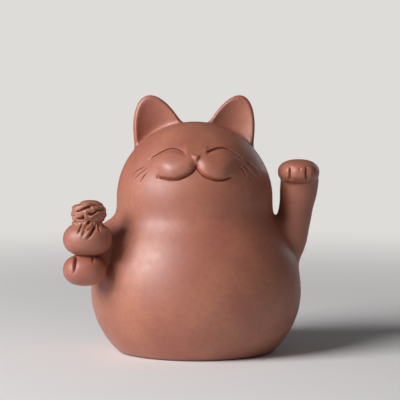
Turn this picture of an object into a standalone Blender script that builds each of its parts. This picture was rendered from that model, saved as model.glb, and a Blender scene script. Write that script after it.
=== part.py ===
"""Clay cat tea pet: a hollow hand-built figure of pieces luted together and fired.

The cat looks along -Y and stands on z = 0. Left and right are the cat's own, so its
left, with the raised arm, is at +X. Every lump of clay is an egg, a turned shell or
a rolled coil, cut where it seats on its neighbour with one joint clearance.
"""

from dataclasses import dataclass, replace
from math import cos, pi, radians, sin, sqrt

import bmesh
import bpy
from mathutils import Matrix, Vector

MM = 0.001

# Joints and walls
JOINT = 0.3 * MM
WALL = 4.0 * MM
FOOT_THICKNESS = 3.4 * MM
FOOT_EDGE_ROUND = 0.9 * MM
VENT_DIAMETER = 6.4 * MM
VENT_BACK = 9.0 * MM

# Belly
BELLY_WIDTH = 65.8 * MM
BELLY_DEPTH = 61.2 * MM
BELLY_MID_HEIGHT = 19.0 * MM
BELLY_RISE = 32.8 * MM
FOOT_WIDTH = 48.6 * MM

# Head
HEAD_WIDTH = 48.8 * MM
HEAD_DEPTH = 45.6 * MM
HEAD_CROWN_RISE = 24.0 * MM
HEAD_MID_HEIGHT = 47.8 * MM
HEAD_SIDE_SHIFT = -0.45 * MM

# Ears
EAR_WIDTH = 16.9 * MM
EAR_THICKNESS = 7.8 * MM
EAR_LENGTH = 18.2 * MM
EAR_STAND = 11.1 * MM
EAR_SPACING = 21.4 * MM
EAR_BACK = 4.6 * MM
EAR_LEAN = 0.17
EAR_RIM = 2.1 * MM
EAR_SCOOP_DEPTH = 2.6 * MM

# Cheek pads and nose
FACE_SIDE_SHIFT = 0.5 * MM
PAD_SPREAD = 13.4 * MM
PAD_HEIGHT_UP_HEAD = 10.7 * MM
PAD_WIDTH = 14.8 * MM
PAD_LENGTH = 10.4 * MM
PAD_THICKNESS = 7.6 * MM
PAD_SUNK = 1.5 * MM
NOSE_WIDTH = 2.9 * MM
NOSE_LENGTH = 2.3 * MM
NOSE_THICKNESS = 4.0 * MM
NOSE_HEIGHT_UP_HEAD = 13.0 * MM
NOSE_STANDS_PROUD = 1.8 * MM
NOSE_CORNERS = 0.2

# Raised arm and paw
SHOULDER_HEIGHT = 33.0 * MM
SHOULDER_BACK = 2.8 * MM
SHOULDER_SUNK = 1.2 * MM
ARM_ROOT_SHARE = 0.62
UPPER_ARM_THICKNESS = 12.2 * MM
FOREARM_THICKNESS = 11.2 * MM
WRIST_THICKNESS = 10.8 * MM
ELBOW_BOW = 1.3 * MM
FOREARM_BOW = 1.6 * MM
WRIST_OUTWARD = 0.6 * MM
RAISED_PAW_WIDTH = 13.0 * MM
RAISED_PAW_LENGTH = 16.6 * MM
RAISED_PAW_HEIGHT = 6.8 * MM
RAISED_PAW_TOP = 60.0 * MM
RAISED_PAW_FULLNESS = 2.6
RAISED_PAW_AHEAD = 0.87 * MM
RAISED_PAW_OVER_WRIST = 1.8 * MM
PAW_TO_HEAD = 2.7 * MM

# Holding arm and paw
HOLD_AZIMUTH = 58.0
HOLD_REACH = 7.8 * MM
HOLD_PAW_MID_HEIGHT = 27.4 * MM
HOLD_PAW_WIDTH = 13.2 * MM
HOLD_PAW_LENGTH = 12.8 * MM
HOLD_PAW_HEIGHT = 9.8 * MM
HOLD_PAW_FULLNESS = 2.2
HOLD_ARM_THICKNESS = 11.6 * MM
HOLD_ELBOW_THICKNESS = 11.1 * MM
HOLD_ELBOW_BOW = 1.4 * MM
HOLD_WRIST_THICKNESS = 7.8 * MM
HOLD_ARM_TURN = 22.0
HOLD_SHOULDER_HEIGHT = 35.0 * MM
HOLD_SHOULDER_SUNK = 2.6 * MM

# Toe slits
TOE_SLIT_WIDTH = 0.8 * MM
TOE_SLIT_LENGTH = 6.0 * MM
TOE_SLIT_DEPTH = 1.3 * MM
TOE_SLIT_SPACING = 5.6 * MM
RAISED_SLIT_DROP = 0.7 * MM
HOLD_SLIT_RISE = 1.5 * MM

# Purse
BALL_WIDTH = 14.8 * MM
BALL_DEPTH = 14.4 * MM
BALL_HEIGHT = 10.6 * MM
BALL_PRESSED_ON_PAW = 1.0 * MM
BALL_INWARD = 0.7 * MM
TIE_DIAMETER = 9.6 * MM
TIE_CORD = 1.5 * MM
RUFFLE_WIDTH = 11.2 * MM
RUFFLE_HEIGHT = 5.7 * MM
RUFFLE_FOLDS = 7
RUFFLE_LAYERS = 3
RUFFLE_LAYER_CREASE = 0.075
RUFFLE_DOME_FROM = 0.3
RUFFLE_DOME_SPAN = 0.72
RUFFLE_WAVE = 0.07
RUFFLE_TWIST = 0.9

# Tail
TAIL_THICKNESS = 8.4 * MM
TAIL_TIP_THICKNESS = 6.0 * MM
TAIL_START_HEIGHT = 9.0 * MM
TAIL_TIP_HEIGHT = 19.0 * MM
TAIL_SWEEP = 14.0
TAIL_STANDS_OFF = 1.6 * MM
TAIL_STATIONS = 5

# Facets
TURNED_STEPS = 60
BELLY_RINGS = 13
HEAD_RINGS = 13
HOLLOW_RINGS = 8
EGG_SEGMENTS = 26
EGG_RINGS = 16


@dataclass(frozen=True)
class Egg:
    """An egg-shaped lump: centre, half sizes, and how far it leans per unit of height."""

    centre: Vector
    radii: Vector
    turn: Matrix = Matrix.Identity(3)
    lean: float = 0.0
    fullness: float = 2.0

    def grown(self, by):
        """The same lump swollen by a clearance."""
        return replace(self, radii=self.radii + Vector((by, by, by)))

    def top(self):
        """Height of its highest point."""
        return self.centre.z + self.radii.z


HEAD = Egg(
    Vector((HEAD_SIDE_SHIFT, 0, HEAD_MID_HEIGHT)),
    Vector((HEAD_WIDTH / 2, HEAD_DEPTH / 2, HEAD_CROWN_RISE)),
)


def belly_drop():
    """How far the belly's lower round would reach below its middle if the foot didn't cut it."""
    return BELLY_MID_HEIGHT / sqrt(1 - (FOOT_WIDTH / BELLY_WIDTH) ** 2)


def belly_radius(height, grow=0.0):
    """Half width of the belly at a height."""
    span = BELLY_RISE if height > BELLY_MID_HEIGHT else belly_drop()
    share = (height - BELLY_MID_HEIGHT) / (span + grow)
    return (BELLY_WIDTH / 2 + grow) * sqrt(max(0.0, 1 - share * share))


def head_radius(height, grow=0.0):
    """Half width of the head at a height."""
    share = (height - HEAD_MID_HEIGHT) / (HEAD_CROWN_RISE + grow)
    return (HEAD_WIDTH / 2 + grow) * sqrt(max(0.0, 1 - share * share))


def neck_height():
    """Height below the jaw where the head's round meets the belly's."""
    low, high = BELLY_MID_HEIGHT, HEAD_MID_HEIGHT
    for _ in range(50):
        middle = (low + high) / 2
        if belly_radius(middle) > head_radius(middle):
            low = middle
        else:
            high = middle
    return low


NECK_HEIGHT = neck_height()


def belly_skin(azimuth, height, out=0.0):
    """Point on the belly, turned from the front towards the cat's right, and its outward way."""
    width = belly_radius(height)
    depth = width * BELLY_DEPTH / BELLY_WIDTH
    angle = radians(azimuth)
    point = Vector((-width * sin(angle), -depth * cos(angle), height))
    way = Vector((-sin(angle) / width, -cos(angle) / depth, 0)).normalized()
    return point + way * out, way


def head_skin(side, up):
    """Point on the front of the head, and the outward way there, by side and rise from its middle."""
    radii = HEAD.radii
    forward = sqrt(max(0.0, 1 - (side / radii.x) ** 2 - (up / radii.z) ** 2))
    local = Vector((side, -radii.y * forward, up))
    way = Vector((local.x / radii.x**2, local.y / radii.y**2, local.z / radii.z**2)).normalized()
    return HEAD.centre + local, way


def clear_scene():
    """Remove every object, so that the script can run again."""
    for item in list(bpy.data.objects):
        bpy.data.objects.remove(item, do_unlink=True)


def new_collection(name):
    """A fresh collection in the scene."""
    group = bpy.data.collections.new(name)
    bpy.context.scene.collection.children.link(group)
    return group


def clay(name, colour, roughness):
    """Unglazed fired clay."""
    finish = bpy.data.materials.new(name)
    finish.use_nodes = True
    shader = finish.node_tree.nodes["Principled BSDF"]
    shader.inputs["Base Color"].default_value = (*colour, 1)
    shader.inputs["Roughness"].default_value = roughness
    shader.inputs["Metallic"].default_value = 0.0
    finish.diffuse_color = (*colour, 1)
    return finish


def add(name, mesh, group, finish=None):
    """Put a mesh in the scene as a named object, shaded smooth."""
    item = bpy.data.objects.new(name, mesh)
    group.objects.link(item)
    mesh.shade_smooth()
    mesh.set_sharp_from_angle(angle=radians(40))
    if finish:
        mesh.materials.append(finish)
    return item


def turned(name, profile, depth_ratio, group, finish=None, side=0.0, closed=False):
    """A shell or disc turned about the upright axis, drawn in to its depth."""
    mesh = bpy.data.meshes.new(name)
    count = len(profile)
    edges = [(i, i + 1) for i in range(count - 1)]
    if closed:
        edges.append((count - 1, 0))
    mesh.from_pydata([(x, 0, z) for x, z in profile], edges, [])
    item = bpy.data.objects.new(name, mesh)
    group.objects.link(item)
    item.location.x = side
    item.scale.y = depth_ratio
    screw = item.modifiers.new("turn", "SCREW")
    screw.steps = screw.render_steps = TURNED_STEPS
    screw.use_merge_vertices = True
    screw.merge_threshold = 0.02 * MM
    screw.use_smooth_shade = True
    if finish:
        mesh.materials.append(finish)
    return item


def egg_mesh(egg, segments=EGG_SEGMENTS, rings=EGG_RINGS):
    """A sphere stretched to an egg's sizes, squared up by its fullness, leant and turned."""
    body = bmesh.new()
    bmesh.ops.create_uvsphere(body, u_segments=segments, v_segments=rings, radius=1)
    for vert in body.verts:
        squared = sum(abs(part) ** egg.fullness for part in vert.co) ** (-1 / egg.fullness)
        local = egg.radii * vert.co * squared
        local.x += local.z * egg.lean
        vert.co = egg.centre + egg.turn @ local
    mesh = bpy.data.meshes.new("egg")
    body.to_mesh(mesh)
    body.free()
    return mesh


def coil_mesh(stations):
    """A rolled coil of clay through stations of (point, radius), with its ends closed."""
    path = bpy.data.curves.new("coil", "CURVE")
    path.dimensions = "3D"
    path.bevel_depth = 1.0
    path.bevel_resolution = 4
    path.resolution_u = 3
    path.use_fill_caps = True
    spline = path.splines.new("BEZIER")
    spline.bezier_points.add(len(stations) - 1)
    for knot, (point, radius) in zip(spline.bezier_points, stations):
        knot.co = point
        knot.radius = radius
        knot.handle_left_type = knot.handle_right_type = "AUTO"
    holder = bpy.data.objects.new("coil", path)
    bpy.context.scene.collection.objects.link(holder)
    seen = holder.evaluated_get(bpy.context.evaluated_depsgraph_get())
    mesh = bpy.data.meshes.new_from_object(seen)
    bpy.data.objects.remove(holder, do_unlink=True)
    bpy.data.curves.remove(path)
    body = bmesh.new()
    body.from_mesh(mesh)
    bmesh.ops.remove_doubles(body, verts=body.verts, dist=0.01 * MM)
    bmesh.ops.recalc_face_normals(body, faces=body.faces)
    body.to_mesh(mesh)
    body.free()
    return mesh


class Bench:
    """The pieces and the cutters of one figure."""

    def __init__(self):
        self.parts = new_collection("tea_pet_cat")
        self.cutters = new_collection("cutters")
        self.body_clay = clay("red_brown_clay", (0.235, 0.098, 0.062), 0.55)
        self.purse_clay = clay("purse_clay", (0.225, 0.092, 0.058), 0.58)
        self.foot_clay = clay("unburnished_foot_clay", (0.215, 0.092, 0.060), 0.72)
        self.nose_clay = clay("burnished_nose_clay", (0.250, 0.108, 0.070), 0.45)

    def cutter(self, name, mesh):
        """A hidden guide that only cuts."""
        item = add(name, mesh, self.cutters)
        return self.hide(item)

    def hide(self, item):
        """Mark an object as a guide."""
        item.hide_render = True
        item.display_type = "WIRE"
        return item

    def seat(self, item, *cutters):
        """Cut a piece to the shape of what it is luted to."""
        for tool in cutters:
            cut = item.modifiers.new("seat_" + tool.name, "BOOLEAN")
            cut.operation = "DIFFERENCE"
            cut.solver = "EXACT"
            cut.object = tool
        return item


def arc_heights(top, bottom, count):
    """Heights from top to bottom, close together where a round closes at either end."""
    return [bottom + (top - bottom) * (1 + cos(pi * i / (count - 1))) / 2 for i in range(count)]


def build_hosts(bench):
    """The foot disc, belly and head, and the swollen copies that cut their neighbours."""
    ratio = BELLY_DEPTH / BELLY_WIDTH
    foot = [(0, FOOT_THICKNESS), (belly_radius(FOOT_THICKNESS), FOOT_THICKNESS)]
    rounding = FOOT_EDGE_ROUND
    edge = belly_radius(rounding)
    for i in range(5):
        angle = radians(90 * i / 4)
        foot.append((edge - rounding * (1 - cos(angle)), rounding * (1 - sin(angle))))
    foot.append((0, 0))
    base = turned("base_disc", foot, ratio, bench.parts, bench.foot_clay)
    vent = bmesh.new()
    place = Matrix.Translation((0, VENT_BACK, FOOT_THICKNESS / 2))
    bmesh.ops.create_cone(
        vent, cap_ends=True, segments=24, radius1=VENT_DIAMETER / 2, radius2=VENT_DIAMETER / 2,
        depth=3 * FOOT_THICKNESS, matrix=place,
    )
    mesh = bpy.data.meshes.new("vent_drill")
    vent.to_mesh(mesh)
    vent.free()
    bench.seat(base, bench.cutter("vent_drill", mesh))

    low, high = FOOT_THICKNESS + JOINT, NECK_HEIGHT - JOINT / 2
    outside = [(belly_radius(z), z) for z in arc_heights(high, low, BELLY_RINGS)]
    inside = [(belly_radius(z) - WALL, z) for z in reversed(arc_heights(high, low, HOLLOW_RINGS))]
    turned("belly_shell", outside + inside, ratio, bench.parts, bench.body_clay, closed=True)

    jaw = NECK_HEIGHT + JOINT / 2
    outside = dome_profile(HEAD_WIDTH / 2, HEAD_CROWN_RISE, HEAD_RINGS)
    outside += [(head_radius(z), z) for z in ((HEAD_MID_HEIGHT + jaw) / 2, jaw)]
    inside = dome_profile(HEAD_WIDTH / 2 - WALL, HEAD_CROWN_RISE - WALL, HOLLOW_RINGS)
    inside.append((head_radius(jaw) - WALL, jaw))
    turned(
        "head_shell", outside + list(reversed(inside)), HEAD_DEPTH / HEAD_WIDTH,
        bench.parts, bench.body_clay, side=HEAD_SIDE_SHIFT,
    )

    belly_cutter = turned(
        "swollen_belly", swollen_belly_profile(), (BELLY_DEPTH + 2 * JOINT) / (BELLY_WIDTH + 2 * JOINT),
        bench.cutters,
    )
    head_cutter = turned(
        "swollen_head", swollen_head_profile(), (HEAD_DEPTH + 2 * JOINT) / (HEAD_WIDTH + 2 * JOINT),
        bench.cutters, side=HEAD_SIDE_SHIFT,
    )
    return bench.hide(belly_cutter), bench.hide(head_cutter)


def swollen_belly_profile():
    """The belly's outer round with the joint clearance on it, closed on the axis at both ends."""
    low, high = -FOOT_THICKNESS, NECK_HEIGHT - JOINT / 2
    heights = arc_heights(high, FOOT_THICKNESS + JOINT, BELLY_RINGS)
    profile = [(0, HEAD_MID_HEIGHT), (belly_radius(HEAD_MID_HEIGHT, JOINT), HEAD_MID_HEIGHT)]
    profile += [(belly_radius(z, JOINT), z) for z in heights]
    profile += [(belly_radius(0, JOINT), low), (0, low)]
    return profile


def swollen_head_profile():
    """The head's outer round with the joint clearance on it, carried on to a full round below."""
    upper = dome_profile(HEAD_WIDTH / 2 + JOINT, HEAD_CROWN_RISE + JOINT, HEAD_RINGS)
    lower = [(radius, 2 * HEAD_MID_HEIGHT - height) for radius, height in reversed(upper[:-1])]
    return upper + lower


def dome_profile(half_width, rise, count):
    """A quarter round from the head's crown down to its widest height."""
    tilt = [radians(90) * i / (count - 1) for i in range(count)]
    return [(half_width * sin(a), HEAD_MID_HEIGHT + rise * cos(a)) for a in tilt]


def trimming_box(name, low, high, bench):
    """A box that cuts away one side of a piece."""
    body = bmesh.new()
    size, middle = high - low, (low + high) / 2
    bmesh.ops.create_cube(body, size=1, matrix=Matrix.Translation(middle) @ Matrix.Diagonal((*size, 1)))
    mesh = bpy.data.meshes.new(name)
    body.to_mesh(mesh)
    body.free()
    return bench.cutter(name, mesh)


def facing(way):
    """A turn whose third axis is the outward way and whose first axis is level."""
    across = Vector((0, 0, 1)).cross(way).normalized()
    upward = way.cross(across)
    return Matrix((across, upward, way)).transposed()


def build_ear(bench, name, side, head_cutter):
    """An ear pressed from a flat leaf of clay, thumbed hollow at the front."""
    x, y = side * EAR_SPACING / 2, EAR_BACK
    on_head = sqrt(1 - (x / HEAD.radii.x) ** 2 - (y / HEAD.radii.y) ** 2)
    tip = HEAD_MID_HEIGHT + HEAD_CROWN_RISE * on_head + EAR_STAND
    leaf = Egg(
        Vector((HEAD_SIDE_SHIFT + x, y, tip - EAR_LENGTH)),
        Vector((EAR_WIDTH / 2, EAR_THICKNESS / 2, EAR_LENGTH)),
        lean=side * EAR_LEAN,
    )
    spare = 0.25 * EAR_SCOOP_DEPTH
    thumb = Egg(
        leaf.centre - Vector((0, leaf.radii.y + spare, 0)),
        Vector((leaf.radii.x - EAR_RIM, EAR_SCOOP_DEPTH + spare, leaf.radii.z - 1.6 * EAR_RIM)),
        lean=leaf.lean,
    )
    ear = add(name, egg_mesh(leaf, 28, 20), bench.parts, bench.body_clay)
    scoop = bench.cutter(name + "_thumb", egg_mesh(thumb, 24, 18))
    bench.seat(ear, scoop, head_cutter)


def build_face(bench, head_cutter):
    """Two puffed cheek pads that meet under a three-cornered nose."""
    face_axis = HEAD_SIDE_SHIFT + FACE_SIDE_SHIFT
    swollen = []
    for name, side in (("muzzle_pad_left", 1), ("muzzle_pad_right", -1)):
        skin, way = head_skin(FACE_SIDE_SHIFT + side * PAD_SPREAD / 2, PAD_HEIGHT_UP_HEAD)
        pad = Egg(
            skin - way * PAD_SUNK, Vector((PAD_WIDTH, PAD_LENGTH, PAD_THICKNESS)) / 2, facing(way),
        )
        edges = sorted((face_axis + side * JOINT / 2, face_axis - side * HEAD_WIDTH / 2))
        low = Vector((edges[0], -HEAD_DEPTH, NECK_HEIGHT))
        high = Vector((edges[1], 0, HEAD_MID_HEIGHT + HEAD_CROWN_RISE))
        lump = add(name, egg_mesh(pad, 28, 16), bench.parts, bench.body_clay)
        bench.seat(lump, head_cutter, trimming_box(name + "_trim", low, high, bench))
        swollen.append(bench.cutter("swollen_" + name, egg_mesh(pad.grown(JOINT), 28, 16)))
    skin, way = head_skin(FACE_SIDE_SHIFT, NOSE_HEIGHT_UP_HEAD)
    button = Egg(
        skin + way * (NOSE_STANDS_PROUD - NOSE_THICKNESS / 2),
        Vector((NOSE_WIDTH, NOSE_LENGTH, NOSE_THICKNESS)) / 2, facing(way),
    )
    mesh = egg_mesh(button, 24, 12)
    to_local = button.turn.transposed()
    for vert in mesh.vertices:
        local = to_local @ (vert.co - button.centre)
        corner = 1 + NOSE_CORNERS * three_corners(local)
        vert.co = button.centre + button.turn @ Vector((local.x * corner, local.y * corner, local.z))
    nose = add("nose_button", mesh, bench.parts, bench.nose_clay)
    bench.seat(nose, head_cutter, *swollen)


def three_corners(local):
    """Plus one towards a corner of the nose, minus one towards a flat side, with a corner down."""
    reach = sqrt(local.x**2 + local.y**2)
    down = -local.y / reach if reach else 0.0
    return 4 * down**3 - 3 * down


def toe_slits(bench, name, front):
    """Two knife cuts that part the toes, at a paw's front."""
    blades = []
    for number, side in enumerate((-1, 1), start=1):
        blade = Egg(
            front + Vector((side * TOE_SLIT_SPACING / 2, 0, 0)),
            Vector((TOE_SLIT_WIDTH / 2, TOE_SLIT_DEPTH, TOE_SLIT_LENGTH / 2)),
        )
        blades.append(bench.cutter(f"{name}_slit_{number}", egg_mesh(blade, 12, 10)))
    return blades


def raised_paw_egg():
    """The bent-over paw beside the head."""
    height = RAISED_PAW_TOP - RAISED_PAW_HEIGHT / 2
    side = HEAD_SIDE_SHIFT + head_radius(height) + PAW_TO_HEAD + RAISED_PAW_WIDTH / 2
    return Egg(
        Vector((side, -RAISED_PAW_AHEAD, height)),
        Vector((RAISED_PAW_WIDTH, RAISED_PAW_LENGTH, RAISED_PAW_HEIGHT)) / 2,
        fullness=RAISED_PAW_FULLNESS,
    )


def build_raised_arm(bench, belly_cutter, head_cutter):
    """The arm that rises beside the head, and its paw bent towards the viewer."""
    paw = raised_paw_egg()
    shoulder = Vector((belly_radius(SHOULDER_HEIGHT) - SHOULDER_SUNK, SHOULDER_BACK, SHOULDER_HEIGHT))
    wrist = paw.centre + Vector((WRIST_OUTWARD, RAISED_PAW_OVER_WRIST, 0))
    root = Vector((ARM_ROOT_SHARE * shoulder.x, shoulder.y, shoulder.z - UPPER_ARM_THICKNESS / 2))
    stations = [
        (root, UPPER_ARM_THICKNESS / 2),
        (shoulder, UPPER_ARM_THICKNESS / 2),
        (shoulder.lerp(wrist, 1 / 3) + Vector((ELBOW_BOW, 0, 0)), FOREARM_THICKNESS / 2),
        (shoulder.lerp(wrist, 2 / 3) + Vector((FOREARM_BOW, 0, 0)), FOREARM_THICKNESS / 2),
        (wrist, WRIST_THICKNESS / 2),
    ]
    arm = add("raised_arm", coil_mesh(stations), bench.parts, bench.body_clay)
    swollen_paw = bench.cutter("swollen_raised_paw", egg_mesh(paw.grown(JOINT)))
    bench.seat(arm, belly_cutter, head_cutter, swollen_paw)
    hand = add("raised_paw", egg_mesh(paw), bench.parts, bench.body_clay)
    front = paw.centre - Vector((0, paw.radii.y, RAISED_SLIT_DROP))
    bench.seat(hand, *toe_slits(bench, "raised_paw", front), head_cutter)


def holding_paw_egg():
    """The paw beside the belly that the purse stands on."""
    centre, _ = belly_skin(HOLD_AZIMUTH, HOLD_PAW_MID_HEIGHT, HOLD_REACH)
    size = Vector((HOLD_PAW_WIDTH, HOLD_PAW_LENGTH, HOLD_PAW_HEIGHT))
    return Egg(centre, size / 2, fullness=HOLD_PAW_FULLNESS)


def purse_egg(paw):
    """The round of the purse, pressed a little onto the paw."""
    height = paw.top() + BALL_HEIGHT / 2 - BALL_PRESSED_ON_PAW
    centre = Vector((paw.centre.x + BALL_INWARD, paw.centre.y, height))
    return Egg(centre, Vector((BALL_WIDTH, BALL_DEPTH, BALL_HEIGHT)) / 2)


def build_holding_arm(bench, paw, ball_cutter, belly_cutter, head_cutter):
    """The short arm that reaches forward, and its paw."""
    shoulder, outward = belly_skin(HOLD_AZIMUTH + HOLD_ARM_TURN, HOLD_SHOULDER_HEIGHT, -HOLD_SHOULDER_SUNK)
    root = shoulder - outward * HOLD_ARM_THICKNESS
    elbow = (shoulder + paw.centre) / 2 + outward * HOLD_ELBOW_BOW
    stations = [
        (root, HOLD_ARM_THICKNESS / 2),
        (shoulder, HOLD_ARM_THICKNESS / 2),
        (elbow, HOLD_ELBOW_THICKNESS / 2),
        (paw.centre, HOLD_WRIST_THICKNESS / 2),
    ]
    arm = add("holding_arm", coil_mesh(stations), bench.parts, bench.body_clay)
    swollen_paw = bench.cutter("swollen_holding_paw", egg_mesh(paw.grown(JOINT)))
    bench.seat(arm, belly_cutter, head_cutter, swollen_paw, ball_cutter)
    hand = add("holding_paw", egg_mesh(paw), bench.parts, bench.body_clay)
    front = paw.centre + Vector((0, -paw.radii.y, HOLD_SLIT_RISE))
    bench.seat(hand, *toe_slits(bench, "holding_paw", front), belly_cutter)
    return swollen_paw


def build_purse(bench, ball, ball_cutter, paw_cutter, belly_cutter):
    """A tied cloth purse in clay: its round, the cord at its neck and the frill above."""
    lump = add("pouch_ball", egg_mesh(ball), bench.parts, bench.purse_clay)
    bench.seat(lump, paw_cutter, belly_cutter)
    ring, cord = (TIE_DIAMETER - TIE_CORD) / 2, TIE_CORD / 2
    on_ball = ball.radii.z * sqrt(max(0.0, 1 - (ring / ball.radii.x) ** 2))
    tie_height = ball.centre.z + on_ball + 0.8 * cord
    bpy.ops.mesh.primitive_torus_add(
        major_segments=32, minor_segments=10, major_radius=ring, minor_radius=cord,
        location=(ball.centre.x, ball.centre.y, tie_height),
    )
    tie = bpy.context.active_object
    tie.name = tie.data.name = "pouch_tie"
    for group in list(tie.users_collection):
        group.objects.unlink(tie)
    bench.parts.objects.link(tie)
    tie.data.shade_smooth()
    tie.data.materials.append(bench.purse_clay)
    bench.seat(tie, ball_cutter)
    stem = ring - cord - JOINT
    foot = Vector((ball.centre.x, ball.centre.y, ball.top() - cord))
    collar = tie_height + cord + JOINT
    frill = add("pouch_ruffle", ruffle_mesh(foot, collar, stem), bench.parts, bench.purse_clay)
    bench.seat(frill, ball_cutter)


def ruffle_mesh(foot, collar, stem):
    """A gathered frill: a stem, then wavy layers that spread over the cord and close at the top."""
    body = bmesh.new()
    around = 6 * RUFFLE_FOLDS
    rings = [(foot.z, stem, 0.0, 0.0), (collar, stem, 0.0, 0.0)]
    levels = 4 * RUFFLE_LAYERS
    for level in range(1, levels + 1):
        rise = level / levels
        dome = sqrt(max(0.0, 1 - max(0.0, (rise - RUFFLE_DOME_FROM) / RUFFLE_DOME_SPAN) ** 2))
        layer = 1 - RUFFLE_LAYER_CREASE * cos(2 * pi * RUFFLE_LAYERS * rise)
        spread = RUFFLE_WIDTH / 2 * dome * layer * (1 - RUFFLE_WAVE)
        wave = RUFFLE_WAVE * (1 - rise / 2)
        rings.append((collar + RUFFLE_HEIGHT * rise, spread, wave, RUFFLE_TWIST * rise))
    loops = []
    for height, radius, wave, twist in rings:
        loop = []
        for i in range(around):
            angle = 2 * pi * i / around
            reach = radius * (1 + wave * cos(RUFFLE_FOLDS * (angle + twist)))
            loop.append(body.verts.new((foot.x + reach * cos(angle), foot.y + reach * sin(angle), height)))
        loops.append(loop)
    for lower, upper in zip(loops, loops[1:]):
        for i in range(around):
            following = (i + 1) % around
            body.faces.new((lower[i], lower[following], upper[following], upper[i]))
    body.faces.new(list(reversed(loops[0])))
    body.faces.new(loops[-1])
    mesh = bpy.data.meshes.new("ruffle")
    body.to_mesh(mesh)
    body.free()
    return mesh


def build_tail(bench, belly_cutter):
    """A short bob tail pressed on the lower back, curling up to the cat's left."""
    stations = []
    for step in range(TAIL_STATIONS):
        share = step / (TAIL_STATIONS - 1)
        thickness = TAIL_THICKNESS + (TAIL_TIP_THICKNESS - TAIL_THICKNESS) * share
        height = TAIL_START_HEIGHT + (TAIL_TIP_HEIGHT - TAIL_START_HEIGHT) * share
        azimuth = 180 + TAIL_SWEEP * sin(share * pi / 2) - TAIL_SWEEP / 2
        point, _ = belly_skin(azimuth, height, TAIL_STANDS_OFF * share)
        stations.append((point, thickness / 2))
    stations = rounded(list(reversed(rounded(stations))))
    tail = add("tail", coil_mesh(stations), bench.parts, bench.body_clay)
    bench.seat(tail, belly_cutter)


def rounded(stations):
    """Stations with a round end added after the last."""
    (before, _), (point, radius) = stations[-2], stations[-1]
    way = (point - before).normalized()
    ending = [(point + way * radius * sin(radians(a)), radius * cos(radians(a))) for a in (30, 60, 84)]
    return stations + ending


def main():
    """Build the figure."""
    clear_scene()
    bench = Bench()
    belly_cutter, head_cutter = build_hosts(bench)
    build_ear(bench, "ear_left", 1, head_cutter)
    build_ear(bench, "ear_right", -1, head_cutter)
    build_face(bench, head_cutter)
    build_raised_arm(bench, belly_cutter, head_cutter)
    paw = holding_paw_egg()
    ball = purse_egg(paw)
    ball_cutter = bench.cutter("swollen_ball", egg_mesh(ball.grown(JOINT)))
    paw_cutter = build_holding_arm(bench, paw, ball_cutter, belly_cutter, head_cutter)
    build_purse(bench, ball, ball_cutter, paw_cutter, belly_cutter)
    build_tail(bench, belly_cutter)


main()
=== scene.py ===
"""Dresses the packed clay cat tea pet as one fired skin over its luted lumps.

The maker rolls and presses each lump, melts it into its neighbour with slip and a wet
thumb, and then cuts the face and toes with a tool. The same happens here. Each lump is a
round form in millimetres, neighbours melt together over a stated reach, and tool lines
are cut into the result. The skin is then parted where the lumps met, so that each node
of the frame has its own closed piece, and the pieces still meet edge to edge.
"""

import logging
import math
from dataclasses import dataclass, field, replace
from enum import Enum
from typing import Any, Callable, Protocol, Sequence

import bmesh
import bpy
import numpy as np
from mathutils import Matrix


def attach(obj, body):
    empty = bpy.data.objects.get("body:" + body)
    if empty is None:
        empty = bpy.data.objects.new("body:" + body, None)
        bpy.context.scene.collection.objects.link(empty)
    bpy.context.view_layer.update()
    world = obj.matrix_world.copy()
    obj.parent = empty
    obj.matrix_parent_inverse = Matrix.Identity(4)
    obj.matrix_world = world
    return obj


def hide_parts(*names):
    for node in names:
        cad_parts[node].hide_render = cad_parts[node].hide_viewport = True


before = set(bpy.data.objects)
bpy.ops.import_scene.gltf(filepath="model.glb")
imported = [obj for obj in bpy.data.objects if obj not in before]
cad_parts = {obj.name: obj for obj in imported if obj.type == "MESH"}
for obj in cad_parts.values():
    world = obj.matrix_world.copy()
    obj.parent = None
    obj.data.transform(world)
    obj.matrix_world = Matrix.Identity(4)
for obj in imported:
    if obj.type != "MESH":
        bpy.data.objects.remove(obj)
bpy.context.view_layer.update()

import openvdb
from mathutils import Vector

LOG = logging.getLogger("tea_pet")

# Metres in a millimetre. The forms are worked out in millimetres, and the meshes are in metres.
MM = 0.001
# The photograph's side in pixels, and how many millimetres of the cat one pixel spans.
IMAGE_SIDE = 400
MM_PER_PIXEL = 0.3125
# A distance that nothing reaches, and a size that keeps a division from failing.
FAR = 1e9
TINY = 1e-9
# How far from a level a place on a level cut may lie.
LEVEL_SLACK = 1e-3
# How far in front of a form a line waits before it is laid on it.
IN_FRONT = 3.0

Points = np.ndarray
Values = np.ndarray
Vec2 = tuple[float, float]
Vec3 = tuple[float, float, float]
Vec4 = tuple[float, float, float, float]
Line = tuple[Vec2, ...]
Tree = bpy.types.NodeTree
Sockets = dict[str | int, Any]
Form = Callable[[Points], Values]
# Places on a form, and the outward way at each.
Laid = tuple[tuple[Vec3, ...], tuple[Vec3, ...]]


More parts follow.
